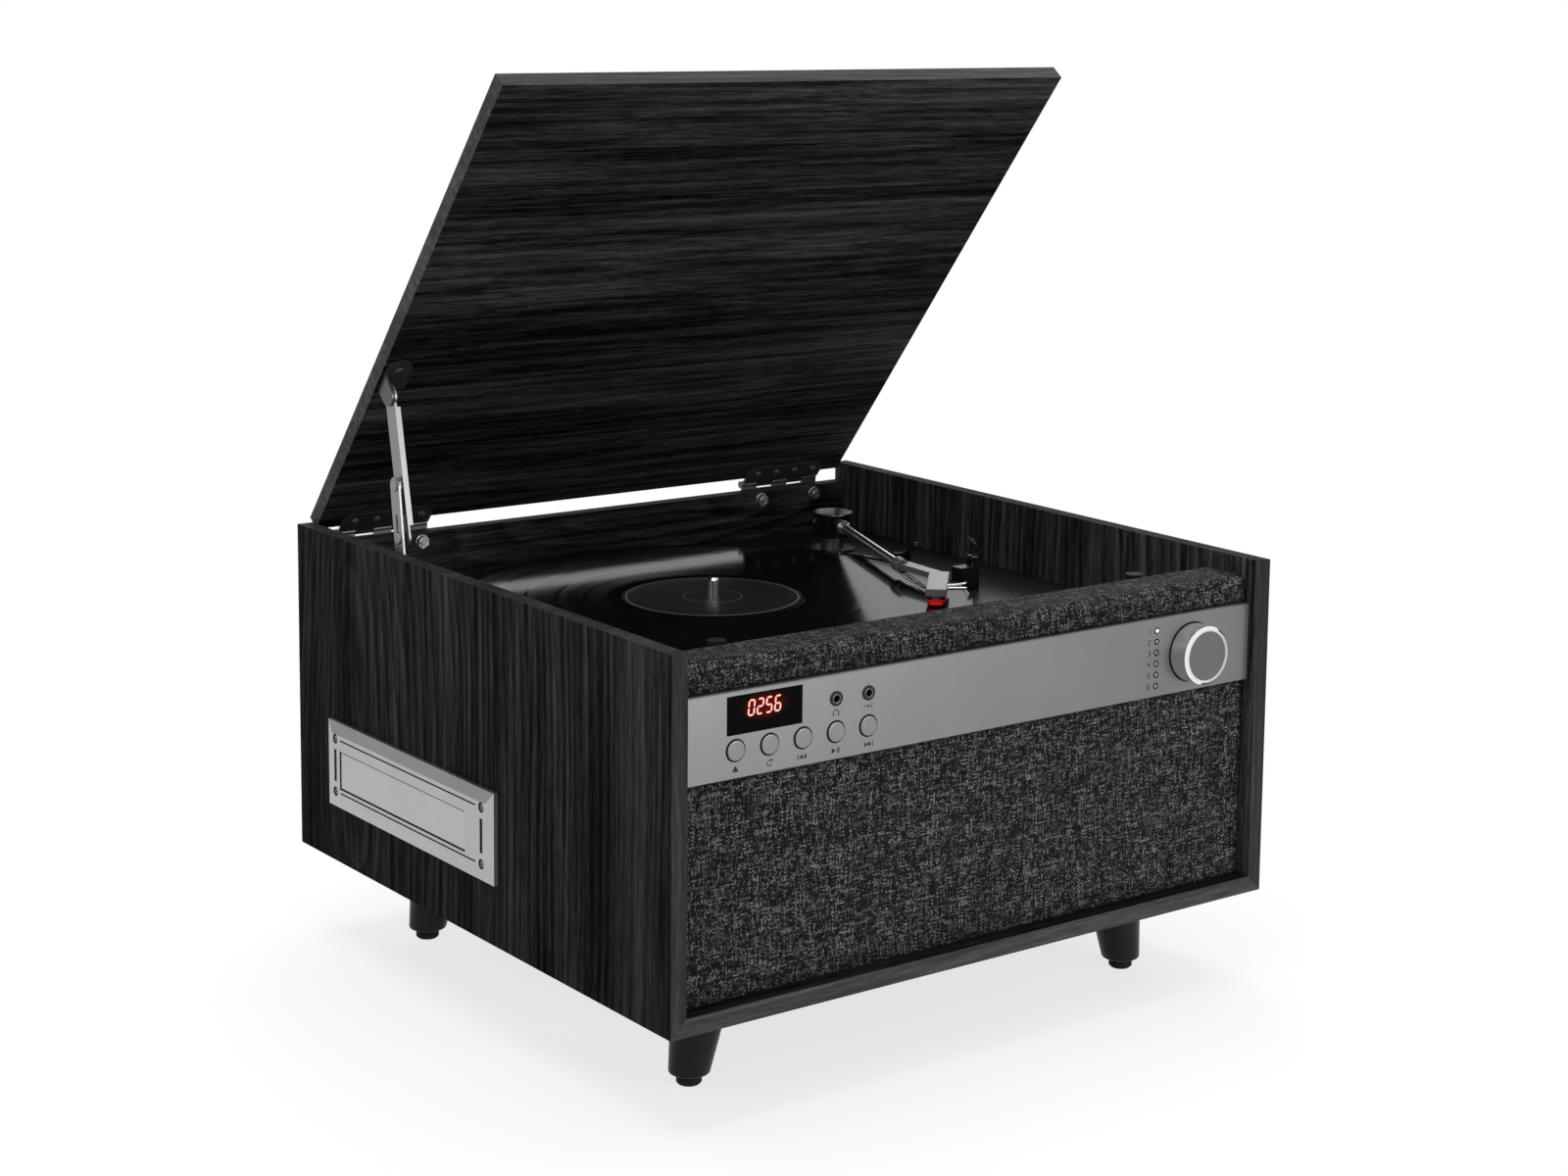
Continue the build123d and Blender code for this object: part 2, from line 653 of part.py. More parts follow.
# Feet: splayed turned legs with rubber pads
leg_top_radius = 16.5
leg_foot_radius = 11.0
leg_splay = 10.0
leg_inset_x = 52.0
leg_inset_y = 60.0
pad_radius = 6.8
pad_height = 6.0
legs = []
pads = []
leg_run = foot_height - pad_height
for sx in (-1, 1):
    for sy in (-1, 1):
        foot_x = sx * (cabinet_width / 2 - leg_inset_x)
        foot_y = front + cabinet_depth / 2 + sy * (cabinet_depth / 2 - leg_inset_y)
        top_x = foot_x - sx * leg_run * sin(radians(leg_splay)) / cos(radians(leg_splay))
        lower = Pos(foot_x, foot_y, pad_height) * Circle(leg_foot_radius)
        upper = Pos(top_x, foot_y, foot_height) * Circle(leg_top_radius)
        leg = loft([lower, upper], ruled=True)
        legs.append(fillet(face_edges(leg, Axis.Z, last=False), 1.5))
        pad = rod_z(foot_x, foot_y, 0, pad_height, pad_radius)
        pads.append(chamfer(face_edges(pad, Axis.Z, last=False), 1.2))
pieces["feet"] = Compound(legs)
for sign in (-1, 1):
    x = sign * (cabinet_width / 2 - bumper_inset)
    pads.append(rod_z(x, (ledge_back + rail_back) / 2 + 2, step_top, lid_underside - seat_gap, bumper_radius))
pieces["rubber_pads"] = Compound(pads)

# Deck on its two cleats
deck_x0 = inner_left + seat_gap
deck_x1 = inner_right - seat_gap
deck_y0 = baffle_back + seat_gap
deck_y1 = inner_back - seat_gap
deck = block(deck_x0, deck_x1, deck_y0, deck_y1, deck_under, deck_top)
spindle_x = left + spindle_column
spindle_y = front + spindle_row
bearing_bottom = deck_under - bearing_depth
deck += rod_z(spindle_x, spindle_y, bearing_bottom, deck_top + platter_gap, bearing_radius)
deck -= rod_z(spindle_x, spindle_y, bearing_bottom + 3, deck_top + platter_gap + 1, spindle_radius + shaft_gap)
pulley_x = spindle_x + pulley_distance * cos(radians(pulley_angle))
pulley_y = spindle_y + pulley_distance * sin(radians(pulley_angle))
deck -= rod_z(pulley_x, pulley_y, deck_under - 1, deck_top + 1, pulley_radius + 2)
pivot_x = right - arm_pivot_from_right
pivot_y = back - arm_pivot_from_back
speed_x = pivot_x + speed_from_pivot[0]
speed_y = pivot_y + speed_from_pivot[1]
slot_width = 3.4
slot_length = speed_throw + 5
deck -= block(speed_x - slot_width / 2, speed_x + slot_width / 2, speed_y - 3, speed_y - 3 + slot_length, deck_under - 1, deck_top + 1)
cue_x = pivot_x + cue_from_pivot[0]
cue_y = pivot_y + cue_from_pivot[1]
pieces["deck_plate"] = deck
cleat_z1 = deck_under
cleats = []
for x0, x1 in ((inner_left, inner_left + cleat_width), (inner_right - cleat_width, inner_right)):
    cleats.append(block(x0, x1, baffle_back + 2, inner_back - 2, cleat_z1 - cleat_height, cleat_z1))
pieces["deck_cleats"] = Compound(cleats)

# Platter, mat, record and spindle turn together
ring_z0 = deck_top + platter_gap
platter_z0 = ring_z0 + drive_ring_height
platter_z1 = platter_z0 + platter_thickness
mat_z1 = platter_z1 + mat_thickness
record_z1 = mat_z1 + record_thickness
spindle_top = record_z1 + spindle_rise
platter = rod_z(spindle_x, spindle_y, platter_z0, platter_z1, platter_radius)
platter = fillet(face_edges(platter, Axis.Z), 1.5)
platter += ring_z(spindle_x, spindle_y, ring_z0, platter_z0 + 0.5, drive_ring_radius, drive_ring_radius - drive_ring_wall)
platter += rod_z(spindle_x, spindle_y, ring_z0 + 0.1, platter_z0 + 0.5, bearing_radius)
platter -= rod_z(spindle_x, spindle_y, ring_z0 - 1, platter_z1 + 1, spindle_radius + shaft_gap)
pieces["platter"] = platter
spindle = rod_z(spindle_x, spindle_y, bearing_bottom + 3.2, spindle_top, spindle_radius)
pieces["spindle"] = chamfer(face_edges(spindle, Axis.Z), 1.2)
hole_radius = spindle_radius + shaft_gap
mat = ring_z(spindle_x, spindle_y, platter_z1, mat_z1, platter_radius - 2, hole_radius)
mat_groove = 0.6
for radius in (55, 75, 95, 112):
    mat -= ring_z(spindle_x, spindle_y, mat_z1 - mat_groove, mat_z1 + 1, radius + 1.5, radius)
pieces["slip_mat"] = mat
record = ring_z(spindle_x, spindle_y, mat_z1, record_z1 - 0.3, record_radius, hole_radius)
record += ring_z(spindle_x, spindle_y, mat_z1 + 0.5, record_z1, record_radius, record_radius - record_bead)
record += ring_z(spindle_x, spindle_y, mat_z1 + 0.5, record_z1, label_radius + 4, hole_radius)
pieces["record"] = record

# Belt drive
pulley_z0 = ring_z0
pulley_z1 = platter_z0 - 0.6
pulley = rod_z(pulley_x, pulley_y, pulley_z0, pulley_z1, pulley_radius)
motor_top = deck_under
pulley += rod_z(pulley_x, pulley_y, motor_top - 4, pulley_z0, 1.2)
pieces["motor_pulley"] = pulley
belt_z0 = (ring_z0 + platter_z0 - belt_width) / 2
belt_z1 = belt_z0 + belt_width


def belt_loop(gap, z0, z1):
    """Outline round the drive ring and the pulley, at a distance from both."""
    big = drive_ring_radius + gap
    small = pulley_radius + gap
    lean = (big - small) / pulley_distance
    turn = radians(pulley_angle)
    side = sqrt(1 - lean * lean)
    points = []
    for sign in (1, -1):
        normal = (cos(turn) * lean - sign * sin(turn) * side, sin(turn) * lean + sign * cos(turn) * side)
        points.append((spindle_x + big * normal[0], spindle_y + big * normal[1]))
        points.append((pulley_x + small * normal[0], pulley_y + small * normal[1]))
    strip = slab_xy([points[0], points[1], points[3], points[2]], z0, z1)
    return strip + rod_z(spindle_x, spindle_y, z0, z1, big) + rod_z(pulley_x, pulley_y, z0, z1, small)


pieces["drive_belt"] = belt_loop(belt_gap + belt_thickness, belt_z0, belt_z1) - belt_loop(belt_gap, belt_z0 - 1, belt_z1 + 1)
motor = rod_z(pulley_x, pulley_y, motor_top - motor_height, motor_top, motor_radius)
motor += block(pulley_x - 22, pulley_x + 22, pulley_y - 7, pulley_y + 7, motor_top - 2, motor_top)
motor -= rod_z(pulley_x, pulley_y, motor_top - 6, motor_top + 1, 1.2 + shaft_gap)
pieces["drive_motor"] = motor

# Tonearm: base on the deck, gimbal that swings on it, arm that tips in the gimbal
flange_z1 = deck_top + arm_base_flange
arm_base_top = flange_z1 + arm_base_height - 1.0
arm_base = rod_z(pivot_x, pivot_y, deck_top, flange_z1, arm_base_flange_radius)
arm_base += rod_z(pivot_x, pivot_y, flange_z1, arm_base_top, arm_base_radius)
arm_base -= rod_z(pivot_x, pivot_y, flange_z1, arm_base_top + 1, 3 + shaft_gap)
pieces["tonearm_base"] = arm_base

gimbal_z0 = arm_base_top + seat_gap
gimbal_z1 = gimbal_z0 + gimbal_height
arm_z = base + arm_axis_level
tube_dir = (-sin(radians(arm_angle)), -cos(radians(arm_angle)))
cheek = 4.0
arm_frame = Pos(pivot_x, pivot_y, arm_z) * Rot(0, 0, -arm_angle)
gimbal = rod_z(pivot_x, pivot_y, gimbal_z0, gimbal_z1 - gimbal_rim, gimbal_body_radius)
bar_half = gimbal_radius - 0.6
gimbal += arm_frame * Box(2 * bar_half, gimbal_bar_width, gimbal_bar_height)
disc = rod_z(pivot_x, pivot_y, gimbal_z1 - gimbal_rim, gimbal_z1, gimbal_radius)
gimbal += fillet(face_edges(disc, Axis.Z), 0.5)
gimbal += rod_z(pivot_x, pivot_y, flange_z1 + 0.5, gimbal_z0, 3)
slot_rear = 6.0
slot_box = Box(2 * arm_sleeve_radius + 1.2, gimbal_radius + slot_rear, 2 * arm_sleeve_radius + 2.6)
gimbal -= arm_frame * (Pos(0, (slot_rear - gimbal_radius) / 2, 0.2) * slot_box)
gimbal -= arm_frame * Rot(0, 90, 0) * Cylinder(trunnion_radius + shaft_gap, 2 * gimbal_radius - cheek)
pieces["arm_gimbal"] = gimbal

# The arm in its own frame: -Y along the tube, turned into place
collar_half = arm_tube_radius + 1.6
tube = Pos(0, -arm_tube_length / 2 + 3, 0) * Rot(90, 0, 0) * Cylinder(arm_tube_radius, arm_tube_length + 2)
trunnion = Rot(0, 90, 0) * Cylinder(trunnion_radius, 2 * gimbal_radius - cheek - 0.6)
sleeve = Pos(0, -arm_sleeve_end / 2, 0) * Rot(90, 0, 0) * Cylinder(arm_sleeve_radius, arm_sleeve_end)
ring = Pos(0, -(arm_sleeve_end + arm_ring_end) / 2, 0) * Rot(90, 0, 0) * Cylinder(arm_ring_radius, arm_ring_end - arm_sleeve_end)
pieces["arm_tube"] = arm_frame * (tube + trunnion + sleeve + fillet(ring.edges().filter_by(GeomType.CIRCLE), 0.7))

head_x = pivot_x + head_from_pivot[0]
head_y = pivot_y + head_from_pivot[1]
head_dir = (-sin(radians(head_angle)), -cos(radians(head_angle)))
head_side = (-head_dir[1], head_dir[0])
head_z1 = base + head_top_level
head_z0 = head_z1 - head_thickness
tube_end = (pivot_x + tube_dir[0] * (arm_tube_length - 2), pivot_y + tube_dir[1] * (arm_tube_length - 2))


def head_point(along, across):
    """Point on the headshell, from the middle of its rear edge."""
    return (
        head_x + head_dir[0] * along + head_side[0] * across,
        head_y + head_dir[1] * along + head_side[1] * across,
    )


half = head_width / 2
tube_side = (-tube_dir[1], tube_dir[0])
neck = [(tube_end[0] + tube_side[0] * s * collar_half, tube_end[1] + tube_side[1] * s * collar_half) for s in (-1, 1)]
wedge_half = half - neck_inset
wedge = [neck[0], neck[1], head_point(1, wedge_half), head_point(1, -wedge_half)]
box = [head_point(0, half), head_point(head_length, half), head_point(head_length, -half), head_point(0, -half)]
shell = slab_xy(box, head_z0, head_z1)
shell = chamfer(face_edges(shell, Axis.Z), 0.4)
shell += slab_xy(wedge, head_z0, head_z1 - neck_inset)
collar = Pos(tube_end[0], tube_end[1], arm_z) * Rot(0, 0, -arm_angle) * Rot(90, 0, 0) * Cylinder(collar_half, 9)
shell += collar
shell -= arm_frame * (Pos(0, -arm_tube_length / 2, 0) * Rot(90, 0, 0) * Cylinder(arm_tube_radius, arm_tube_length + 8))
lift_near = head_point(head_length - 12, half - 1)
lift_far = head_point(head_length - 14, half + 11)
lift_mid = ((lift_near[0] + lift_far[0]) / 2, (lift_near[1] + lift_far[1]) / 2, (head_z0 + head_z1) / 2)
lift_turn = degrees(atan2(lift_far[1] - lift_near[1], lift_far[0] - lift_near[0]))
lift_length = hypot(lift_far[0] - lift_near[0], lift_far[1] - lift_near[1])
shell += Pos(*lift_mid) * Rot(0, 0, lift_turn) * Box(lift_length, 2.4, 1.2)
pieces["headshell"] = shell

cart_z0 = record_z1 + 2.0
cart_points = [(head_length - 22, half - 1), (head_length - 3, half - 1), (head_length - 3, 1 - half), (head_length - 22, 1 - half)]
pieces["cartridge"] = slab_xy([head_point(*p) for p in cart_points], cart_z0, head_z0)
holder = slab_xy([head_point(head_length - 16, 3.6), head_point(head_length + 2, 3.6), head_point(head_length + 2, -3.6), head_point(head_length - 16, -3.6)], record_z1 + 0.9, cart_z0)
tip = head_point(head_length, 0)
holder += rod_z(tip[0], tip[1], record_z1 + stylus_clearance, record_z1 + 1.2, 0.5)
pieces["stylus"] = holder

# Arm rest: a post that the collar of the parked arm lies on, with a clip hinged to its outer wall
rest_x = pivot_x + rest_from_pivot[0]
rest_y = pivot_y + rest_from_pivot[1]
rest_floor = arm_z - collar_half - seat_gap
wall_x0 = rest_x + collar_half + rest_wall_gap
wall_x1 = wall_x0 + rest_wall
rest_y0 = rest_y - rest_depth / 2
rest_y1 = rest_y + rest_depth / 2
rest = block(rest_x - rest_width / 2, wall_x1, rest_y0, rest_y1, deck_top, rest_floor)
rest += block(wall_x0, wall_x1, rest_y0, rest_y1, deck_top, arm_z + 1)
clip_x = (wall_x0 + wall_x1) / 2
clip_z = arm_z - 1
clip_slot = clip_width / 2 + 0.3
clip_room = clip_pin_radius + clip_plate + 0.6
rest -= block(wall_x0 - 1, wall_x1 + 1, rest_y - clip_slot, rest_y + clip_slot, clip_z - clip_room, arm_z + 2)
pin_half = rest_depth / 2 - 1.5
rest -= rod_y(clip_x, rest_y - pin_half - 0.3, rest_y + pin_half + 0.3, clip_z, clip_pin_radius + shaft_gap)
pieces["arm_rest"] = rest
clip_top = arm_z + collar_half + 0.5
clip_y0 = rest_y - clip_width / 2
clip_y1 = rest_y + clip_width / 2
clip = block(clip_x - clip_plate / 2, clip_x + clip_plate / 2, clip_y0, clip_y1, clip_z, clip_top + clip_plate)
clip += block(rest_x - collar_half, clip_x + clip_plate / 2, clip_y0, clip_y1, clip_top, clip_top + clip_plate)
clip += rod_y(clip_x, rest_y - pin_half, rest_y + pin_half, clip_z, clip_pin_radius)
pieces["arm_clip"] = clip.rotate(Axis((clip_x, rest_y, clip_z), (0, 1, 0)), clip_open)

# Cue lever and speed lever
cue_z = deck_top + 4.5
deck_ears = [block(cue_x + s * 4 - 1.2, cue_x + s * 4 + 1.2, cue_y - 3, cue_y + 3, deck_top, cue_z + 2.5) for s in (-1, 1)]
for ear in deck_ears:
    pieces["deck_plate"] += ear - rod_x(cue_x - 8, cue_x + 8, cue_y, cue_z, 1.2 + shaft_gap)
lever = rod_x(cue_x - 5.2, cue_x + 5.2, cue_y, cue_z, 1.2)
lever += rod_x(cue_x - 2.4, cue_x + 2.4, cue_y, cue_z, 2.4)
stick = Pos(0, -cue_length / 2, 0) * Rot(90, 0, 0) * Cylinder(1.1, cue_length)
stick += Pos(0, -cue_length, 0) * Sphere(2.4)
lever += Pos(cue_x, cue_y, cue_z) * Rot(-cue_rise, 0, 0) * stick
pieces["cue_lever"] = lever

slider = block(speed_x - slot_width / 2 + 0.2, speed_x + slot_width / 2 - 0.2, speed_y - 2.8, speed_y + 1.2, deck_under - 1, deck_top + 0.4)
slider += block(speed_x - 3, speed_x + 3, speed_y - 7.5, speed_y + 7.5, deck_top + 0.4, deck_top + 2.2)
slider += block(speed_x - 3, speed_x + 3, speed_y - 2.8, speed_y + 1.2, deck_under - 2.2, deck_under - 0.4)
pieces["speed_lever"] = slider

# Lid stay: four thin plates side by side, so none can meet another as it folds
stay_x0 = [inner_left + i * (stay_plate + stay_plane_gap) for i in range(4)]
stay_x1 = [x + stay_plate for x in stay_x0]


def stay_point(point):
    return (pin_y + point[0], pin_z + point[1])


rivet = stay_point(stay_lid_rivet)
elbow = stay_point(stay_elbow)
arm_length = hypot(elbow[0] - rivet[0], elbow[1] - rivet[1])

# Where the lid's rivet and the elbow come to with the lid closed, and from them the rivet on the side
turn = radians(lid_opening)
dy = rivet[0] - pin_y
dz = rivet[1] - pin_z
closed_rivet = (pin_y + dy * cos(turn) - dz * sin(turn), pin_z + dy * sin(turn) + dz * cos(turn))
folded_z = lid_underside - stay_folded_drop
folded_elbow = (closed_rivet[0] - sqrt(arm_length ** 2 - (closed_rivet[1] - folded_z) ** 2), folded_z)
foot_z = deck_top + stay_base_level
half_y = (elbow[0] + folded_elbow[0]) / 2
half_z = (elbow[1] + folded_elbow[1]) / 2
foot = (half_y - (foot_z - half_z) * (elbow[1] - folded_elbow[1]) / (elbow[0] - folded_elbow[0]), foot_z)
side_bracket = link_plate(foot, (foot[0] + 26, foot[1]), 14, stay_x0[0], stay_x1[0])
side_bracket += rod_x(stay_x0[0], stay_x1[1] + 0.3, foot[0], foot[1], stay_rivet_radius)
side_bracket += rod_x(stay_x1[1] + 0.25, stay_x1[1] + 0.25 + stay_head, foot[0], foot[1], stay_head_radius)
pieces["stay_side_bracket"] = side_bracket

link = link_plate(foot, elbow, stay_link_width, stay_x0[1], stay_x1[1])
link -= rod_x(stay_x0[1] - 1, stay_x1[1] + 1, foot[0], foot[1], stay_rivet_radius + shaft_gap)
along = hypot(elbow[0] - foot[0], elbow[1] - foot[1])
link_dir = ((elbow[0] - foot[0]) / along, (elbow[1] - foot[1]) / along)
catch_at = along - stay_tail
catch = (foot[0] + link_dir[0] * catch_at, foot[1] + link_dir[1] * catch_at)
slot_far = (catch[0] + link_dir[0] * stay_catch, catch[1] + link_dir[1] * stay_catch)
link -= link_plate(catch, slot_far, 2.6, stay_x0[1] - 1, stay_x1[1] + 1)
catch_head = fillet(face_edges(rod_x(stay_x0[1] - stay_head, stay_x1[1], catch[0], catch[1], stay_head_radius), Axis.X, last=False), 0.5)
link += catch_head
elbow_head = fillet(face_edges(rod_x(stay_x0[1] - stay_head, stay_x1[1], elbow[0], elbow[1], stay_head_radius), Axis.X, last=False), 0.5)
link += elbow_head
link += rod_x(stay_x0[1], stay_x1[2], elbow[0], elbow[1], stay_rivet_radius)
lip_edge = -(stay_link_width - stay_plate) / 2
link_lip = Pos((stay_x1[1] + stay_link_lip / 2), along / 2, lip_edge) * Box(stay_link_lip + 0.2, along - 8, stay_plate)
link_turn = degrees(atan2(link_dir[1], link_dir[0]))
link += Pos(0, foot[0], foot[1]) * Rot(link_turn, 0, 0) * link_lip
pieces["stay_link"] = link

arm_dir = ((elbow[0] - rivet[0]) / arm_length, (elbow[1] - rivet[1]) / arm_length)
arm_tail = (elbow[0] + arm_dir[0] * stay_tail, elbow[1] + arm_dir[1] * stay_tail)
web = link_plate(rivet, arm_tail, stay_arm_width, stay_x0[3], stay_x1[3])
web += rod_x(stay_x0[3], stay_x1[3], rivet[0], rivet[1], stay_head_disc)
total = arm_length + stay_tail
lip_turn = degrees(atan2(arm_dir[1], arm_dir[0]))
lips = None
for side in (-1, 1):
    lip = Pos((stay_x0[3] + stay_x1[3] + stay_lip) / 2, total / 2, side * (stay_arm_width - stay_plate) / 2) * Box(
        stay_plate + stay_lip, total - 2 * stay_head_disc, stay_plate
    )
    lips = lip if lips is None else lips + lip
web += Pos(0, rivet[0], rivet[1]) * Rot(lip_turn, 0, 0) * lips
web -= rod_x(stay_x0[3] - 1, stay_x1[3] + 1, rivet[0], rivet[1], stay_rivet_radius + shaft_gap)
web -= rod_x(stay_x0[3] - 1, stay_x1[3] + 1, elbow[0], elbow[1], stay_rivet_radius + 0.6)
pieces["stay_arm"] = web

# Bracket on the lid, worked out with the lid closed
tongue = [(closed_rivet[0] - 8.5, lid_underside), (closed_rivet[0] + stay_plate_back, lid_underside)]
tongue += [(closed_rivet[0] + 6, closed_rivet[1]), (closed_rivet[0] - 6, closed_rivet[1])]
flange = slab_yz(tongue, stay_x0[2], stay_x1[2])
flange += rod_x(stay_x0[2], stay_x1[2], closed_rivet[0], closed_rivet[1], 6)
plate_round = stay_plate_width / 2
round_y = closed_rivet[0] - stay_plate_ahead + plate_round
plate_z0 = lid_underside - stay_plate
lid_plate = block(stay_x0[2], stay_x0[2] + stay_plate_width, round_y, closed_rivet[0] + stay_plate_back, plate_z0, lid_underside)
lid_plate += rod_z(stay_x0[2] + plate_round, round_y, plate_z0, lid_underside, plate_round)
screw = rod_z(stay_x0[2] + plate_round, round_y, plate_z0 - screw_head, plate_z0, screw_head_radius)
flange += lid_plate + fillet(face_edges(screw, Axis.Z, last=False), screw_head * 0.6)
flange += rod_x(stay_x0[2], stay_x1[3] + 0.3, closed_rivet[0], closed_rivet[1], stay_rivet_radius)
flange += rod_x(stay_x1[3] + 0.25, stay_x1[3] + 0.25 + stay_head, closed_rivet[0], closed_rivet[1], stay_head_radius)
pieces["stay_lid_bracket"] = opened(flange)

# CD player: bezel outside, tray with its door, chassis inside
bezel_y0 = front + cd_bezel_front
bezel_y1 = bezel_y0 + cd_bezel_width
bezel_z0 = base + cd_bezel_bottom
bezel_z1 = bezel_z0 + cd_bezel_height
door_y0 = front + cd_door_front
door_y1 = door_y0 + cd_door_width
door_z0 = base + cd_door_bottom
door_z1 = door_z0 + cd_door_height


def bezel(sign):
    """Cast frame on a side of the cabinet: broad bevel, four screw seats, a groove along each edge."""
    face_x = sign * cabinet_width / 2
    edge_x = face_x + sign * bezel_edge
    flat_x = face_x + sign * bezel_thickness
    middle_y = (bezel_y0 + bezel_y1) / 2
    middle_z = (bezel_z0 + bezel_z1) / 2
    plate = block(min(face_x, edge_x), max(face_x, edge_x), bezel_y0, bezel_y1, bezel_z0, bezel_z1)
    rim = Plane((edge_x, middle_y, middle_z), x_dir=(0, 1, 0), z_dir=(sign, 0, 0)) * Rectangle(cd_bezel_width, cd_bezel_height)
    flat = Plane((flat_x, middle_y, middle_z), x_dir=(0, 1, 0), z_dir=(sign, 0, 0)) * Rectangle(
        cd_bezel_width - 2 * bezel_bevel, cd_bezel_height - 2 * bezel_bevel
    )
    plate += loft([rim, flat], ruled=True)
    screw_y = cd_bezel_width / 2 - bezel_screw_inset[0]
    screw_z = cd_bezel_height / 2 - bezel_screw_inset[1]
    cut_x0 = min(flat_x, flat_x - sign * bezel_groove_depth) - (1 if sign < 0 else 0)
    cut_x1 = max(flat_x, flat_x - sign * bezel_groove_depth) + (1 if sign > 0 else 0)
    long_half = screw_y - bezel_groove_gap
    short_half = screw_z - bezel_groove_gap
    for side in (-1, 1):
        groove_z = middle_z + side * screw_z
        groove_y = middle_y + side * screw_y
        half = bezel_long_groove / 2
        plate -= block(cut_x0, cut_x1, middle_y - long_half, middle_y + long_half, groove_z - half, groove_z + half)
        half = bezel_short_groove / 2
        plate -= block(cut_x0, cut_x1, groove_y - half, groove_y + half, middle_z - short_half, middle_z + short_half)
        for other in (-1, 1):
            seat_x = flat_x - sign * bezel_screw_depth
            plate -= rod_x(min(seat_x, flat_x) - (1 if sign < 0 else 0), max(seat_x, flat_x) + (1 if sign > 0 else 0),
                           groove_y, middle_z + other * screw_z, bezel_screw_radius)
    return plate


cd_bezel = bezel(-1)
cd_bezel -= block(left - 6, left + 1, door_y0 - door_gap, door_y1 + door_gap, door_z0 - door_gap, door_z1 + door_gap)
pieces["cd_bezel"] = cd_bezel

door_x0 = left - bezel_thickness + 0.6
door = block(door_x0, door_x0 + door_thickness, door_y0, door_y1, door_z0, door_z1)
door = chamfer(face_edges(door, Axis.X, last=False), 0.5)
pieces["cd_tray_door"] = door

tray_x0 = door_x0 + door_thickness
tray_y0 = (door_y0 + door_y1 - tray_width) / 2
tray_y1 = tray_y0 + tray_width
tray_z0 = door_z0 + 4.0
tray_z1 = tray_z0 + tray_height
disc_x = tray_x0 + 10 + disc_recess_radius
disc_y = (tray_y0 + tray_y1) / 2
tray = block(tray_x0, tray_x0 + tray_length, tray_y0, tray_y1, tray_z0, tray_z1)
tray -= rod_z(disc_x, disc_y, tray_z1 - disc_recess_depth, tray_z1 + 1, disc_recess_radius)
tray -= block(disc_x - 18, tray_x0 + tray_length - 12, disc_y - tray_slot_width / 2, disc_y + tray_slot_width / 2, tray_z0 - 1, tray_z1 + 1)
pieces["cd_tray"] = tray

chassis_x0 = left + 1.0
chassis_x1 = chassis_x0 + tray_length + 24
chassis_y0 = cd_cut_y0 + seat_gap
chassis_y1 = cd_cut_y1 - seat_gap
chassis_z0 = cd_cut_z0 + seat_gap
chassis_z1 = cd_cut_z1 - seat_gap
wall = cd_chassis_wall
chassis = block(chassis_x0, chassis_x1, chassis_y0, chassis_y1, chassis_z0, chassis_z1)
chassis -= block(chassis_x0 - 1, chassis_x1 - wall, chassis_y0 + wall, chassis_y1 - wall, chassis_z0 + wall, chassis_z1 - wall)
rail_width = tray_y0 + 5 - (chassis_y0 + wall)
rail_z1 = tray_z0 - seat_gap
for y0, y1 in ((chassis_y0 + wall, tray_y0 + 5), (tray_y1 - 5, chassis_y1 - wall)):
    chassis += block(left + 3, chassis_x1 - wall, y0, y1, chassis_z0 + wall, rail_z1)
pieces["cd_chassis"] = chassis
hub_z1 = tray_z0 - 0.5
hub_z0 = chassis_z0 + wall
hub = rod_z(disc_x, disc_y, hub_z0 + 0.4, hub_z1 - 0.6, hub_radius)
hub = hub + rod_z(disc_x, disc_y, hub_z1 - 0.6, hub_z1, 7.3)
pieces["cd_hub"] = hub

# Cassette player: bezel, slot with a sprung flap, eject key, chassis with the bay
slot_y0 = cassette_middle - cassette_slot_width / 2
slot_y1 = cassette_middle + cassette_slot_width / 2
cassette_bezel = bezel(1)
cassette_bezel -= block(right - 1, right + 6, slot_y0, slot_y1, slot_z0, slot_z1)
eject_y0 = slot_y0 - eject_from_slot
eject_z0 = (slot_z0 + slot_z1 - eject_height) / 2
cassette_bezel -= block(
    right - 1, right + 6, eject_y0 - seat_gap, eject_y0 + eject_length + seat_gap, eject_z0 - seat_gap, eject_z0 + eject_height + seat_gap
)
pieces["cassette_bezel"] = cassette_bezel

bay_x1 = right - seat_gap
bay_x0 = bay_x1 - cassette_bay_depth - wall
bay_y0 = slot_y0 - door_gap
bay_y1 = slot_y1 + door_gap
bay = block(bay_x0, bay_x1, bay_y0 - bay_wall, bay_y1 + bay_wall, bay_z0 - bay_wall, bay_z1 + bay_wall)
bay -= block(bay_x0 + wall, bay_x1 + 1, bay_y0, bay_y1, bay_z0, bay_z1)
flap_pin_x = bay_x1 - 3.0
flap_pin_z = bay_z1 - 1.6
bay -= rod_x(bay_x1 - 1, bay_x1 + 1, cassette_middle, flap_pin_z, 0.4)
flap_hole = rod_y(flap_pin_x, bay_y0 - bay_wall - 1, bay_y1 + bay_wall + 1, flap_pin_z, flap_pin_radius + shaft_gap)
bay -= flap_hole
pieces["cassette_chassis"] = bay
flap = block(flap_pin_x - flap_thickness / 2, flap_pin_x + flap_thickness / 2, bay_y0 + seat_gap, bay_y1 - seat_gap, bay_z0 + seat_gap, flap_pin_z)
flap += rod_y(flap_pin_x, bay_y0 - bay_wall, bay_y1 + bay_wall, flap_pin_z, flap_pin_radius)
pieces["cassette_flap"] = flap

eject_stem = 6.0
pieces["side_panel_right"] -= block(
    inner_right - 1, right + 1, eject_y0 - seat_gap, eject_y0 + eject_length + seat_gap, eject_z0 - seat_gap, eject_z0 + eject_height + seat_gap
)
eject = block(right - eject_stem, right + bezel_thickness, eject_y0, eject_y0 + eject_length, eject_z0, eject_z0 + eject_height)
pieces["cassette_eject"] = fillet(face_edges(eject, Axis.X), 0.8)

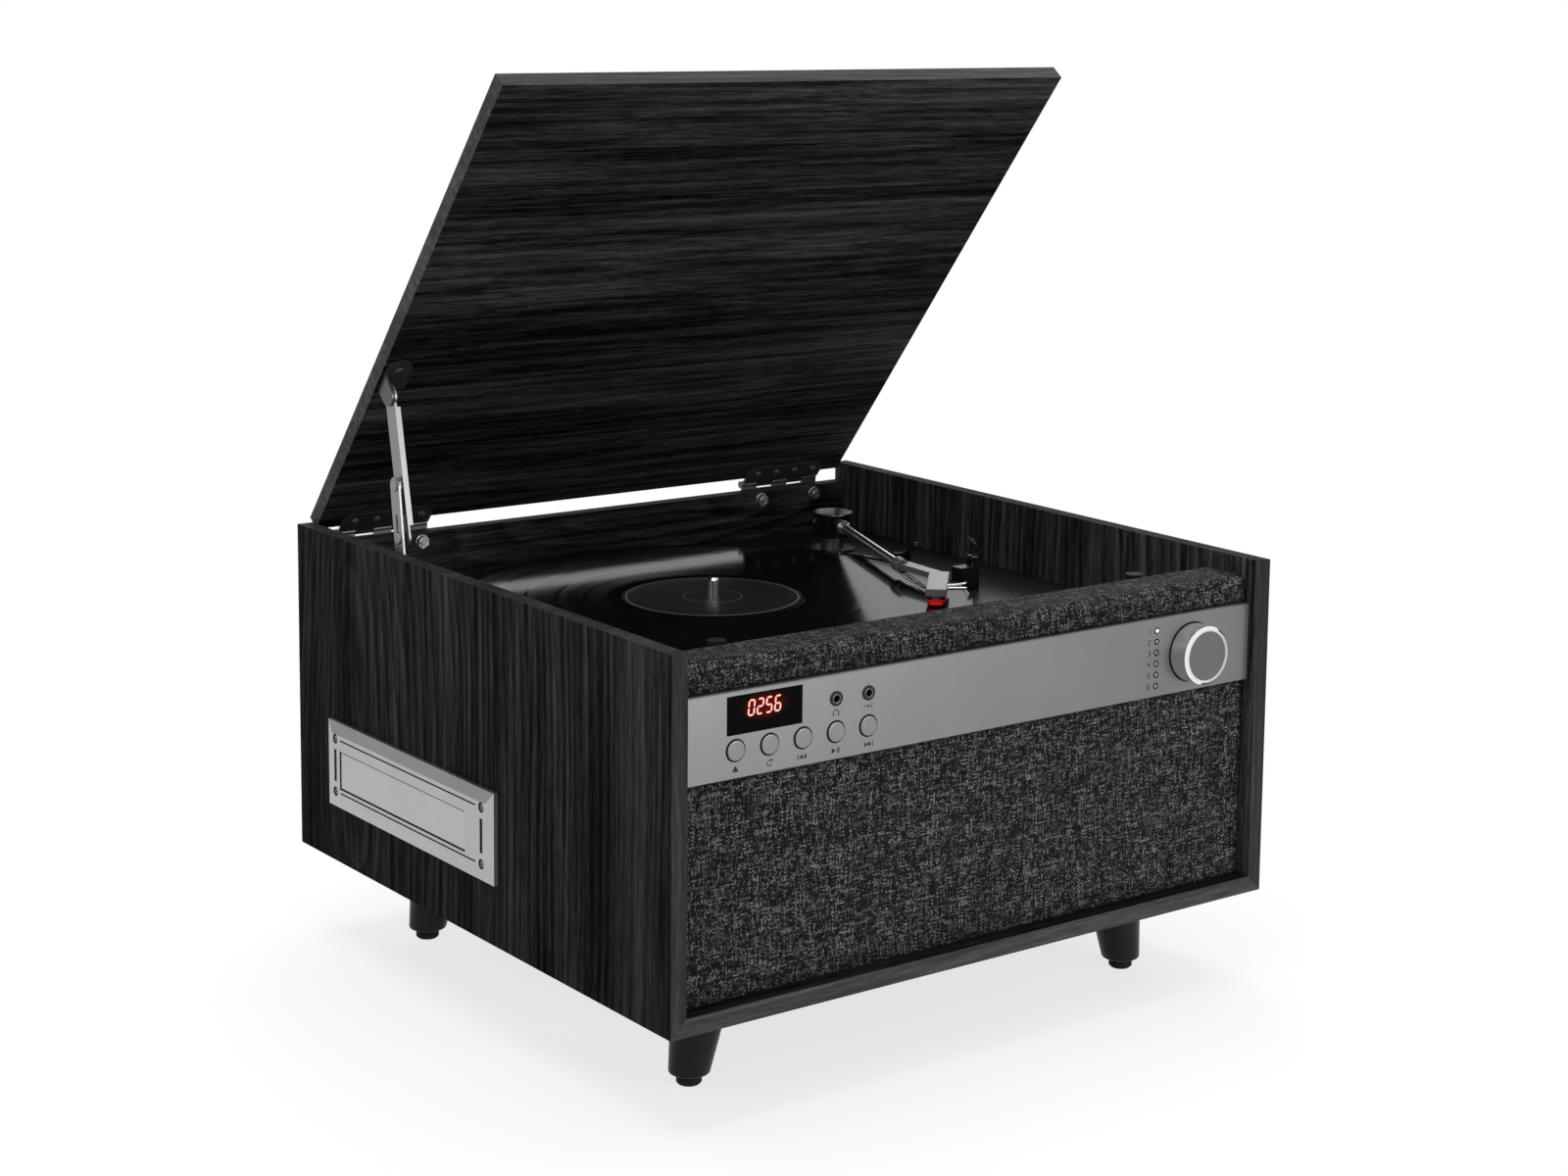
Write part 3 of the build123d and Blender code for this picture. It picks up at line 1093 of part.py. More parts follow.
# Main circuit board on the bottom, terminals at the back
amp_x1 = inner_right - main_board_from_right
amp_x0 = amp_x1 - main_board_size[0]
amp_y1 = inner_back - main_board_from_back
amp_y0 = amp_y1 - main_board_size[1]
amp_z0 = base + board + main_board_standoff
amp_z1 = amp_z0 + circuit_board
amp = block(amp_x0, amp_x1, amp_y0, amp_y1, amp_z0, amp_z1)
post_inset = 5.0
for post_x in (amp_x0 + post_inset, amp_x1 - post_inset):
    for post_y in (amp_y0 + post_inset, amp_y1 - post_inset):
        amp += rod_z(post_x, post_y, base + board, amp_z0, 3)
sink_x0 = amp_x0 + 2 * post_inset
sink_x1 = sink_x0 + heat_sink_length
sink_y0 = amp_y0 + 4 * post_inset
sink_y1 = sink_y0 + (fin_count - 1) * fin_pitch + fin_thickness
amp += block(sink_x0, sink_x1, sink_y0, sink_y1, amp_z1, amp_z1 + 2.4)
for i in range(fin_count):
    fin_y = sink_y0 + i * fin_pitch
    amp += block(sink_x0, sink_x1, fin_y, fin_y + fin_thickness, amp_z1, amp_z1 + heat_sink_height)
for i in range(2):
    can_x = sink_x1 + heat_sink_length + i * capacitor_pitch
    can = rod_z(can_x, sink_y0 + 2 * post_inset, amp_z1, amp_z1 + capacitor_height, capacitor_radius)
    amp += chamfer(face_edges(can, Axis.Z), 0.8)
pieces["main_board"] = amp

plate_y0 = inner_back - 2.0
flange_margin = 6.0
terminal = block(
    -terminal_width / 2 - flange_margin, terminal_width / 2 + flange_margin, plate_y0, inner_back,
    terminal_z0 - flange_margin, terminal_z1 + flange_margin,
)
terminal_z = (terminal_z0 + terminal_z1) / 2
rca_x = [-terminal_width / 2 + 14, -terminal_width / 2 + 14 + rca_pitch]
for x in rca_x:
    terminal += rod_y(x, inner_back, inner_back + rca_length, terminal_z, rca_radius)
    terminal -= rod_y(x, inner_back - 0.5, inner_back + rca_length + 1, terminal_z, 1.7)
dc_x = terminal_width / 2 - 14
terminal += rod_y(dc_x, inner_back, inner_back + 6, terminal_z, dc_radius)
terminal -= rod_y(dc_x, inner_back - 0.5, inner_back + 7, terminal_z, dc_bore_radius)
terminal += rod_y(dc_x, inner_back - 0.6, inner_back + 5, terminal_z, 1.0)
pieces["terminal_plate"] = terminal

os.makedirs("parts", exist_ok=True)
for name, piece in pieces.items():
    solids = piece.solids()
    export_step(solids[0] if len(solids) == 1 else Compound(solids), f"parts/{name}.step")
print(len(pieces), "pieces")
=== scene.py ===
import json
from math import cos, pi, radians, sin, sqrt

import bmesh
import bpy
from mathutils import Matrix, Vector


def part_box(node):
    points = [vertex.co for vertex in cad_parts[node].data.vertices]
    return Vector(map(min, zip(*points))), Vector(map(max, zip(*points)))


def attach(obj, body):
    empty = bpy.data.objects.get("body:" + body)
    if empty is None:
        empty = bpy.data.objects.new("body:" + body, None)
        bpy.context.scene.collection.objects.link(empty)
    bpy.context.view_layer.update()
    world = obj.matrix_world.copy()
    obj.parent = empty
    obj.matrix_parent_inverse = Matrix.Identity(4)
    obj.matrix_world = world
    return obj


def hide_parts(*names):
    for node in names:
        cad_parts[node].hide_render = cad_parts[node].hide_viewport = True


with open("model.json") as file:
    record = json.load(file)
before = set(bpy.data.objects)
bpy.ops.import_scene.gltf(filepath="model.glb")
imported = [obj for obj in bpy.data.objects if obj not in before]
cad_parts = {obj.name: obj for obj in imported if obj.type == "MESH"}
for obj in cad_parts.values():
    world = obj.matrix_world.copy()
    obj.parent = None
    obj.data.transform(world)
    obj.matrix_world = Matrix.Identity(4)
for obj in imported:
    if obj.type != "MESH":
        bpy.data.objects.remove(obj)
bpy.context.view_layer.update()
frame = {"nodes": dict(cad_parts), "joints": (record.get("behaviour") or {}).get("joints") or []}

print("frame loaded,", len(frame["nodes"]), "nodes")


# node trees

def setInput(tree, node, key, value):
    socket = node.inputs[key]
    if isinstance(value, bpy.types.NodeSocket):
        tree.links.new(value, socket)
    else:
        socket.default_value = value


def addNode(tree, kind, inputs=None, **settings):
    node = tree.nodes.new(kind)
    for key, value in settings.items():
        setattr(node, key, value)
    for key, value in (inputs or {}).items():
        setInput(tree, node, key, value)
    return node


def calc(tree, operation, a, b=None, c=None):
    node = addNode(tree, "ShaderNodeMath", operation=operation)
    for index, value in enumerate((a, b, c)):
        if value is not None:
            setInput(tree, node, index, value)
    return node.outputs[0]


def times(tree, a, b):
    return calc(tree, "MULTIPLY", a, b)


def plus(tree, a, b):
    return calc(tree, "ADD", a, b)


def vectorCalc(tree, operation, a, b=None):
    node = addNode(tree, "ShaderNodeVectorMath", operation=operation)
    setInput(tree, node, 0, a)
    if b is not None:
        setInput(tree, node, 1, b)
    return node.outputs["Value" if operation in ("DOT_PRODUCT", "LENGTH") else "Vector"]


def mixColor(tree, factor, a, b, blend="MIX"):
    node = addNode(tree, "ShaderNodeMix", data_type="RGBA", blend_type=blend)
    setInput(tree, node, 0, factor)
    setInput(tree, node, 6, a)
    setInput(tree, node, 7, b)
    return node.outputs[2]


def mapRange(tree, value, low, high, outLow=0.0, outHigh=1.0, shape="LINEAR"):
    return addNode(tree, "ShaderNodeMapRange", {"Value": value, "From Min": low, "From Max": high, "To Min": outLow,
                                                "To Max": outHigh}, interpolation_type=shape).outputs["Result"]


def noise(tree, vector, scale, detail=2.0, roughness=0.5):
    return addNode(tree, "ShaderNodeTexNoise", {"Vector": vector, "Scale": scale, "Detail": detail,
                                                "Roughness": roughness}).outputs[0]


def combine(tree, x=0.0, y=0.0, z=0.0):
    return addNode(tree, "ShaderNodeCombineXYZ", {0: x, 1: y, 2: z}).outputs[0]


def scaled(tree, color, factor):
    return addNode(tree, "ShaderNodeVectorMath", {0: color, "Scale": factor}, operation="SCALE").outputs["Vector"]


def distance(tree, vector, plane=(1, 1, 0)):
    # length of the vector in a plane
    return vectorCalc(tree, "LENGTH", vectorCalc(tree, "MULTIPLY", vector, plane))


def fromRing(tree, radius, ring):
    return calc(tree, "ABSOLUTE", calc(tree, "SUBTRACT", radius, ring))


def newGroup(name, inputs, outputs, kind="ShaderNodeTree"):
    group = bpy.data.node_groups.new(name, kind)
    for way, sockets in (("INPUT", inputs), ("OUTPUT", outputs)):
        for label, form in sockets.items():
            group.interface.new_socket(label, in_out=way, socket_type="NodeSocket" + form)
    return group, group.nodes.new("NodeGroupInput"), group.nodes.new("NodeGroupOutput")


def gray(value):
    return (value, value, value * 1.01, 1.0)


# drift and ringPitch in metres; streaks, broad, pores and figure are their shares of the print
woodPrint = {"drift": 0.022, "ringPitch": 0.0072, "ringWaver": 5.5, "heartStretch": 0.24, "contrast": 2.3,
             "streaks": 0.38, "broad": 0.26, "pores": 0.24, "figure": 0.30}


def makeWoodGrain():
    # the print of a wood foil: the grain runs along the vector's Z, and the heart of the figure is that axis
    group, inp, out = newGroup("woodGrain", {"Vector": "Vector", "Dark": "Color", "Light": "Color", "Figure": "Float"},
                               {"Color": "Color", "Height": "Float", "Roughness": "Float"})

    def stretched(vector, scale, detail=2.0, roughness=0.5):
        return noise(group, vectorCalc(group, "MULTIPLY", vector, scale), 1.0, detail, roughness)

    vector = inp.outputs["Vector"]
    drift = calc(group, "SUBTRACT", stretched(vector, (8.0, 8.0, 3.0)), 0.5)
    drift = times(group, drift, woodPrint["drift"])
    bent = vectorCalc(group, "ADD", vector, combine(group, drift, drift))

    def layer(wide, long, detail, low, high):
        return mapRange(group, stretched(bent, (wide, wide, long), detail, 0.62), low, high)

    broad = layer(26.0, 1.6, 2.0, 0.36, 0.66)
    streaks = layer(260.0, 4.0, 5.0, 0.36, 0.66)
    pores = layer(1500.0, 60.0, 2.0, 0.36, 0.60)
    patch = layer(10.0, 3.5, 1.0, 0.40, 0.60)

    # each growth ring gets lighter slowly and ends in a dark line
    heart = vectorCalc(group, "MULTIPLY", bent, (1.0, 1.0, woodPrint["heartStretch"]))
    count = calc(group, "DIVIDE", vectorCalc(group, "LENGTH", heart), woodPrint["ringPitch"])
    waver = times(group, stretched(bent, (16.0, 16.0, 2.0)), woodPrint["ringWaver"])
    phase = calc(group, "FRACT", plus(group, count, waver))
    ring = times(group, mapRange(group, phase, 0.0, 0.78), mapRange(group, phase, 0.82, 1.0, 1.0, 0.0))
    ring = times(group, ring, mapRange(group, patch, 0.0, 1.0, 0.45, 1.0))
    figure = times(group, ring, inp.outputs["Figure"])

    total = times(group, streaks, woodPrint["streaks"])
    for part, share in ((broad, "broad"), (pores, "pores"), (figure, "figure")):
        total = plus(group, total, times(group, part, woodPrint[share]))
    total = calc(group, "POWER", calc(group, "MINIMUM", total, 1.0), woodPrint["contrast"])
    height = plus(group, times(group, streaks, 0.5), times(group, pores, 0.5))
    setInput(group, out, "Color", mixColor(group, total, inp.outputs["Dark"], inp.outputs["Light"]))
    setInput(group, out, "Height", height)
    setInput(group, out, "Roughness", mapRange(group, total, 0.0, 1.0, 0.52, 0.62))
    return group


# pitch in metres; dash is how fast a yarn's tone changes along it, apart how far its neighbour's differs
tweedPrint = {"pitch": 0.0010, "dash": 0.13, "apart": 5.37, "dark": 0.0008, "light": 0.19}


def makeTweed():
    # warp and weft yarns of uneven grey; the vector is in metres over the cloth
    group, inp, out = newGroup("tweed", {"Vector": "Vector"}, {"Color": "Color", "Height": "Float"})
    parts = addNode(group, "ShaderNodeSeparateXYZ", {0: inp.outputs["Vector"]})
    u, v = [calc(group, "DIVIDE", parts.outputs[i], tweedPrint["pitch"]) for i in (0, 1)]
    uYarn = calc(group, "FLOOR", u)
    vYarn = calc(group, "FLOOR", v)

    def yarn(along, row, seed):
        # slubs along the yarn, and a tone of its own for the whole of it
        spot = combine(group, times(group, along, tweedPrint["dash"]), times(group, row, tweedPrint["apart"]), seed)
        slub = mapRange(group, noise(group, spot, 1.0, 3.0, 0.8), 0.49, 0.62)
        whole = addNode(group, "ShaderNodeTexWhiteNoise", {"Vector": combine(group, row, seed)})
        return times(group, slub, mapRange(group, whole.outputs[0], 0.0, 1.0, 0.25, 1.0))

    def wave(across):
        return calc(group, "ABSOLUTE", calc(group, "SINE", times(group, across, pi)))

    weft = yarn(u, vYarn, 3.0)
    warp = yarn(v, uYarn, 11.0)
    over = calc(group, "ABSOLUTE", calc(group, "MODULO", plus(group, uYarn, vYarn), 2.0))
    tone = addNode(group, "ShaderNodeMix", {0: over, 2: weft, 3: warp}, data_type="FLOAT").outputs[0]
    cluster = mapRange(group, noise(group, inp.outputs["Vector"], 70.0, 2.0, 0.6), 0.35, 0.65, 0.70, 1.0)
    tone = times(group, tone, cluster)
    raised = addNode(group, "ShaderNodeMix", {0: over, 2: wave(v), 3: wave(u)}, data_type="FLOAT").outputs[0]
    setInput(group, out, "Color", mixColor(group, tone, gray(tweedPrint["dark"]), gray(tweedPrint["light"])))
    setInput(group, out, "Height", plus(group, raised, times(group, tone, 0.5)))
    return group


def makeGrainCoat():
    # the fine orange peel of paint and moulded plastic, with faint patches of wear
    group, inp, out = newGroup("grainCoat", {"Vector": "Vector", "Base": "Color", "Grain": "Float", "Spread": "Float",
                                             "Shine": "Float"},
                               {"Color": "Color", "Height": "Float", "Roughness": "Float"})
    speck = noise(group, inp.outputs["Vector"], inp.outputs["Grain"], 2.0, 0.6)
    cloud = noise(group, inp.outputs["Vector"], 22.0, 3.0, 0.5)
    lift = 0.0
    for part in (cloud, speck):
        share = times(group, calc(group, "SUBTRACT", part, 0.5), inp.outputs["Spread"])
        lift = plus(group, lift, share)
    setInput(group, out, "Color", scaled(group, inp.outputs["Base"], plus(group, 1.0, lift)))
    setInput(group, out, "Height", speck)
    setInput(group, out, "Roughness", plus(group, inp.outputs["Shine"], times(group, lift, 0.5)))
    return group


woodGrain = makeWoodGrain()
tweed = makeTweed()
grainCoat = makeGrainCoat()
paint = {}


def newMaterial(name, **values):
    # every material is found again in paint by its name
    material = paint[name] = bpy.data.materials.new(name)
    material.use_nodes = True
    tree = material.node_tree
    shader = tree.nodes["Principled BSDF"]
    for key, value in values.items():
        shader.inputs[key.replace("_", " ")].default_value = value
    return tree, shader


def place(tree, center=(0, 0, 0), turn=(0, 0, 0)):
    coords = addNode(tree, "ShaderNodeTexCoord").outputs["Object"]
    return addNode(tree, "ShaderNodeMapping", {"Vector": coords, "Location": center, "Rotation": turn},
                   vector_type="POINT").outputs[0]


def faceNormal(tree):
    return addNode(tree, "ShaderNodeTexCoord").outputs["Normal"]


def paintCoat(tree, vector, base, grain, spread, shine):
    return addNode(tree, "ShaderNodeGroup", {"Vector": vector, "Base": base, "Grain": grain, "Spread": spread,
                                             "Shine": shine}, node_tree=grainCoat)


def surface(tree, shader, color, roughness, height, strength, depth):
    setInput(tree, shader, "Base Color", color)
    setInput(tree, shader, "Roughness", roughness)
    bump = addNode(tree, "ShaderNodeBump", {"Height": height, "Strength": strength, "Distance": depth})
    setInput(tree, shader, "Normal", bump.outputs[0])


def foilMaterial(name, turn, facing, dark, light, edge, figure=1.0, center=(0, 0, 0)):
    # wood foil on the broad faces; on the edges a greyer print with a fainter grain, partly edge tape and partly
    # painted light where the edges catch the light
    tree, shader = newMaterial(name, Specular_IOR_Level=0.004)
    vector = place(tree, center, turn)
    shades = []
    for low, high, strength in ((dark, light, figure), (edge * 0.45, edge * 2.1, 0.0)):
        shades.append(addNode(tree, "ShaderNodeGroup", {"Vector": vector, "Dark": gray(low), "Light": gray(high),
                                                        "Figure": strength}, node_tree=woodGrain))
    grain, edgeLitTape = shades
    across = calc(tree, "ABSOLUTE", vectorCalc(tree, "DOT_PRODUCT", faceNormal(tree), facing))
    mask = mapRange(tree, across, 0.90, 0.99)
    color = mixColor(tree, mask, edgeLitTape.outputs["Color"], grain.outputs["Color"])
    surface(tree, shader, color, grain.outputs["Roughness"], grain.outputs["Height"], 0.35, 0.00025)


def coatMaterial(name, color, shine, metal, grain, spread, depth, level=0.5):
    tree, shader = newMaterial(name, Metallic=metal, Specular_IOR_Level=level)
    color = gray(color) if isinstance(color, float) else color
    coat = paintCoat(tree, place(tree), color, grain, spread, shine).outputs
    surface(tree, shader, coat["Color"], coat["Roughness"], coat["Height"], 0.5, depth * 0.00001)


def turnedMaterial(name, color, center, shine, rings, spread=0.1):
    # fine lathe marks round an upright axis
    tree, shader = newMaterial(name, Metallic=1.0)
    vector = place(tree, tuple(-c for c in center))
    marks = noise(tree, combine(tree, distance(tree, vector)), rings, 2.0, 0.7)
    tint = scaled(tree, color[:3], mapRange(tree, marks, 0.3, 0.7, 1.0 - spread, 1.0 + spread))
    surface(tree, shader, tint, mapRange(tree, marks, 0.3, 0.7, shine - 0.05, shine + 0.05), marks, 0.3, 0.00001)


lidTilt = radians(frame["joints"][0]["range_deg"][1])
lidFacing = (0.0, sin(lidTilt), cos(lidTilt))
sideways = (0, radians(90), 0)

# the panels share one wood foil; the copies differ in tone as painted light and shade for how light falls on each
# panel, and the right panel's copy is the lightest
# turn, facing, dark, light, edge, strength of the figure and where its heart is
foils = {
    "leftFoil": ((0, 0, 0), (1, 0, 0), 0.0004, 0.046, 0.040, 1.0, (0.238, -0.125, -0.13)),
    "rightFoil": ((0, 0, 0), (1, 0, 0), 0.0008, 0.120, 0.040, 1.0, (-0.162, 0.06, -0.22)),
    "backFoil": (sideways, (0, 1, 0), 0.0010, 0.070, 0.045, 1.0, (-0.235, -0.16, 0.02)),
    "lidFoil": (sideways, lidFacing, 0.0005, 0.066, 0.085, 0.35, (0.1, 0, 0)),
    "bottomFoil": (sideways, (0, 0, 1), 0.0016, 0.045, 0.055, 0.5),
}

# grey or colour, roughness, metal, grain, spread, depth in 0.01 mm and, where it isn't 0.5, specular level
coats = {
    "satinSilver": (0.150, 0.34, 0.9, 3500, 0.08, 2),
    "buttonSilver": (0.155, 0.30, 0.9, 3500, 0.06, 2),
    "doorSilver": (0.42, 0.36, 0.88, 1500, 0.2, 3),
    "armSilver": (0.50, 0.26, 0.95, 2500, 0.08, 1),
    "platterMetal": (0.30, 0.4, 0.9, 1200, 0.15, 3),
    "darkNickel": (0.085, 0.38, 0.85, 2500, 0.2, 2),
    "zincSteel": (0.22, 0.38, 0.9, 2500, 0.2, 2),
    "brass": ((0.55, 0.36, 0.12, 1), 0.3, 1.0, 2500, 0.1, 1),
    "blackPlastic": (0.009, 0.42, 0.0, 1800, 0.3, 3, 0.12),
    "deckPlastic": (0.010, 0.34, 0.0, 1500, 0.3, 5, 0.15),
    "gimbalBlack": (0.006, 0.22, 0.0, 1500, 0.2, 1, 0.2),
    "coneBlack": (0.015, 0.8, 0.0, 1500, 0.4, 10),
    "rubber": (0.008, 0.7, 0.0, 1200, 0.3, 4, 0.1),
    "legPaint": (0.010, 0.35, 0.0, 700, 0.25, 3, 0.12),
    "blackBoard": (0.006, 0.7, 0.0, 900, 0.3, 4, 0.05),
    "bareBoard": ((0.16, 0.105, 0.06, 1), 0.75, 0.0, 900, 0.4, 10),
    "circuitGreen": ((0.01, 0.07, 0.03, 1), 0.4, 0.0, 900, 0.4, 3),
    "smokedWindow": (0.0010, 0.12, 0.0, 1000, 0.1, 0.1, 0.03),
    "lampClear": (0.16, 0.25, 0.0, 1000, 0.1, 0.1, 0.3),
    "stylusRed": ((0.90, 0.012, 0.018, 1), 0.3, 0.0, 1500, 0.1, 1, 0.2),
    "screenPrint": (0.010, 0.5, 0.0, 2500, 0.2, 0.5, 0.1),
    # black of the painted shade in the gaps round the buttons, the lamps' wells and round the knob's base
    "wellBlack": (0.004, 0.6, 0.0, 2500, 0.2, 0.5, 0.05),
    # black of the painted shade in the screws' cross recesses
    "screwRecess": (0.012, 0.6, 0.0, 2500, 0.2, 0.5),
    "phonoRed": ((0.45, 0.01, 0.01, 1), 0.4, 0.0, 1500, 0.15, 1),
    "phonoWhite": ((0.65, 0.65, 0.62, 1), 0.4, 0.0, 1500, 0.1, 1),
}
for name, values in foils.items():
    foilMaterial(name, *values)
for name, values in coats.items():
    coatMaterial(name, *values)


def center(node):
    low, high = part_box(node)
    return (low + high) / 2


spindleAt = center("spindle")
vinylCuts = {"groove": 0.0009, "inner": 0.0610, "outer": 0.1456, "gaps": (0.0735, 0.0905, 0.1085, 0.1270)}


def vinylMaterial():
    # played is 1 on the grooves, and 0 on the smooth rings between the tracks
    tree, shader = newMaterial("vinyl", Anisotropic=0.3, Specular_IOR_Level=0.09)
    vector = place(tree, (-spindleAt.x, -spindleAt.y, 0))
    radius = distance(tree, vector)
    grooves = calc(tree, "SINE", times(tree, radius, 2 * pi / vinylCuts["groove"]))
    bands = noise(tree, combine(tree, radius), 130.0, 2.0, 0.6)
    inner, outer = vinylCuts["inner"], vinylCuts["outer"]
    played = times(tree, mapRange(tree, radius, inner - 0.0005, inner + 0.0005),
                   mapRange(tree, radius, outer + 0.0006, outer - 0.0006))
    for gap in vinylCuts["gaps"]:
        played = times(tree, played, mapRange(tree, fromRing(tree, radius, gap), 0.0005, 0.0011))
    across = addNode(tree, "ShaderNodeVectorMath", operation="CROSS_PRODUCT")
    setInput(tree, across, 0, (0, 0, 1))
    setInput(tree, across, 1, vectorCalc(tree, "MULTIPLY", vector, (1, 1, 0)))
    setInput(tree, shader, "Tangent", vectorCalc(tree, "NORMALIZE", across.outputs[0]))
    tone = mapRange(tree, bands, 0.3, 0.7, 0.0012, 0.0040)
    color = addNode(tree, "ShaderNodeCombineColor", {0: tone, 1: tone, 2: tone}).outputs[0]
    rough = plus(tree, 0.05, times(tree, played, mapRange(tree, bands, 0.3, 0.7, 0.02, 0.06)))
    surface(tree, shader, color, rough, times(tree, grooves, played), 0.03, 0.00002)


vinylMaterial()


def zonedMaterial(name, center, edges, colors, metals, roughs, along=None, plane=(1, 1, 0)):
    # bands round a centre, or past it along a direction, each with its own colour and shine
    tree, shader = newMaterial(name, Specular_IOR_Level=0.3)
    vector = place(tree, tuple(-c for c in center))
    far = vectorCalc(tree, "DOT_PRODUCT", vector, along) if along else distance(tree, vector, plane)
    coat = paintCoat(tree, vector, gray(0.5), 2500.0, 0.12, 0.0)
    color, metal, rough = colors[0], metals[0], roughs[0]
    for i, edge in enumerate(edges):
        past = calc(tree, "GREATER_THAN", far, edge)
        color = mixColor(tree, past, color, colors[i + 1])
        metal = plus(tree, metal, times(tree, past, metals[i + 1] - metals[i]))
        rough = plus(tree, rough, times(tree, past, roughs[i + 1] - roughs[i]))
    tint = mixColor(tree, 1.0, color, coat.outputs["Color"], "MULTIPLY")
    setInput(tree, shader, "Metallic", metal)
    rough = plus(tree, rough, coat.outputs["Roughness"])
    surface(tree, shader, scaled(tree, tint, 2.0), rough, coat.outputs["Height"], 0.4, 0.00001)


def heading(turn):
    # along and across a part that is turned in from the front
    return Vector((-sin(turn), -cos(turn), 0)), Vector((cos(turn), -sin(turn), 0))


pivotLow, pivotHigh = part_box("tonearm_base")
pivotAt = (pivotLow + pivotHigh) / 2
headAlong, headSide = heading(radians(41.4))
cartLow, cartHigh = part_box("cartridge")
cartAt = (cartLow + cartHigh) / 2
knobAt = center("volume_knob")
zonedMaterial("armTube", pivotAt, (0.0241, 0.0267), (gray(0.012), gray(0.10), gray(0.55)), (0.0, 0.3, 0.95),
              (0.28, 0.3, 0.22))
zonedMaterial("headshell", cartAt, (0.0064,), (gray(0.115), gray(0.60)), (0.1, 0.95), (0.40, 0.2), tuple(headSide))
zonedMaterial("armBase", pivotAt, (0.0080,), (gray(0.13), gray(0.012)), (0.8, 0.0), (0.3, 0.35))
zonedMaterial("armClip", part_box("arm_clip")[1], (-0.0042,), (gray(0.012), gray(0.50)), (0.0, 0.95), (0.35, 0.22),
              (0, 0, 1))
zonedMaterial("knobMetal", (knobAt.x, 0, knobAt.z), (0.0140, 0.0153, 0.0165),
              (gray(0.115), gray(0.60), gray(0.85), gray(0.75)), (0.9, 0.9, 1.0, 0.95), (0.34, 0.3, 0.12, 0.24),
              plane=(1, 0, 1))
turnedMaterial("spindleMetal", gray(0.62), spindleAt, 0.15, 4000.0)
# the black of the grooves and wells and the dimming of the upper slope are painted shade
bezelPaint = {"silver": 0.40, "well": 0.004, "margin": 0.0072, "skin": 0.0002, "metal": 0.88, "shade": 0.55}


def bezelMaterial(node, side):
    # cast metal with silver paint; its grooves and screw wells are painted black as shade, and its upward-facing slope
    # is painted darker as shade
    low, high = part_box(node)
    middle, half = (low + high) / 2, (high - low) / 2
    tree, shader = newMaterial(node + "Paint")
    vector = place(tree)
    coat = paintCoat(tree, vector, gray(bezelPaint["silver"]), 1500.0, 0.35, 0.36)
    spot = addNode(tree, "ShaderNodeSeparateXYZ", {0: vector}).outputs
    depth = calc(tree, "ABSOLUTE", calc(tree, "SUBTRACT", spot[0], low.x if side < 0 else high.x))
    # painted shade: the grooves and screw wells, deeper than the skin, are set black
    insideY = calc(tree, "COMPARE", spot[1], middle.y, half.y - bezelPaint["margin"])
    insideZ = calc(tree, "COMPARE", spot[2], middle.z, half.z - bezelPaint["margin"])
    below = calc(tree, "GREATER_THAN", depth, bezelPaint["skin"])
    recessShade = times(tree, times(tree, insideY, insideZ), below)
    facing = addNode(tree, "ShaderNodeSeparateXYZ", {0: faceNormal(tree)}).outputs
    # painted shade: faces that tilt upwards are made darker
    tint = scaled(tree, coat.outputs["Color"], mapRange(tree, facing[2], 0.08, 0.20, 1.0, bezelPaint["shade"]))
    setInput(tree, shader, "Metallic", times(tree, calc(tree, "SUBTRACT", 1.0, recessShade), bezelPaint["metal"]))
    rough = plus(tree, coat.outputs["Roughness"], times(tree, recessShade, 0.4))
    color = mixColor(tree, recessShade, tint, gray(bezelPaint["well"]))
    surface(tree, shader, color, rough, coat.outputs["Height"], 0.6, 0.00004)


bezelMaterial("cd_bezel", -1)
bezelMaterial("cassette_bezel", 1)

# nodes by finish; what isn't named is black plastic
finishes = {
    "leftFoil": "side_panel_left", "rightFoil": "side_panel_right", "backFoil": "back_panel", "lidFoil": "lid",
    "bottomFoil": "bottom_panel", "blackBoard": "baffle_board", "bareBoard": "deck_cleats", "legPaint": "feet",
    "deckPlastic": "ledge_rail deck_plate", "rubber": "rubber_pads slip_mat drive_belt",
    "satinSilver": "faceplate", "knobMetal": "volume_knob", "smokedWindow": "display_window",
    "lampClear": "source_lamps", "cd_bezelPaint": "cd_bezel", "cassette_bezelPaint": "cassette_bezel",
    "doorSilver": "cd_tray_door", "circuitGreen": "control_board main_board", "coneBlack": "speaker_cones",
    "buttonSilver": "cassette_eject button_eject button_repeat button_previous button_play button_next",
    "platterMetal": "platter", "spindleMetal": "spindle", "vinyl": "record", "brass": "motor_pulley",
    "armBase": "tonearm_base", "armTube": "arm_tube", "gimbalBlack": "arm_gimbal", "headshell": "headshell",
    "stylusRed": "stylus", "armClip": "arm_clip",
    "zincSteel": "drive_motor speed_lever stay_side_bracket stay_arm stay_link hinge_bolts",
    "darkNickel": "stay_lid_bracket hinge_body_leaves hinge_lid_leaves",
}
worn = {name: finish for finish, names in finishes.items() for name in names.split()}
for name, node in frame["nodes"].items():
    node.data.materials.clear()
    node.data.materials.append(paint[worn.get(name, "blackPlastic")])
print("finishes set")


# meshes

def newObject(name, data):
    item = bpy.data.objects.new(name, data)
    bpy.context.scene.collection.objects.link(item)
    return item


def meshPiece(name, verts, faces, material, body, uvs=None, smooth=False):
    mesh = bpy.data.meshes.new(name)
    mesh.from_pydata([tuple(v) for v in verts], [], faces)
    mesh.materials.append(paint[material])
    if uvs is not None:
        layer = mesh.uv_layers.new(name="UVMap")
        for loop in mesh.loops:
            layer.data[loop.index].uv = uvs[loop.vertex_index]
    mesh.polygons.foreach_set("use_smooth", [smooth] * len(mesh.polygons))
    mesh.update()
    piece = newObject(name, mesh)
    if body:
        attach(piece, body)
    return piece


def settle(piece):
    # keeps the mesh as its modifiers leave it
    solid = bpy.data.meshes.new_from_object(piece.evaluated_get(bpy.context.evaluated_depsgraph_get()))
    piece.modifiers.clear()
    piece.data = solid


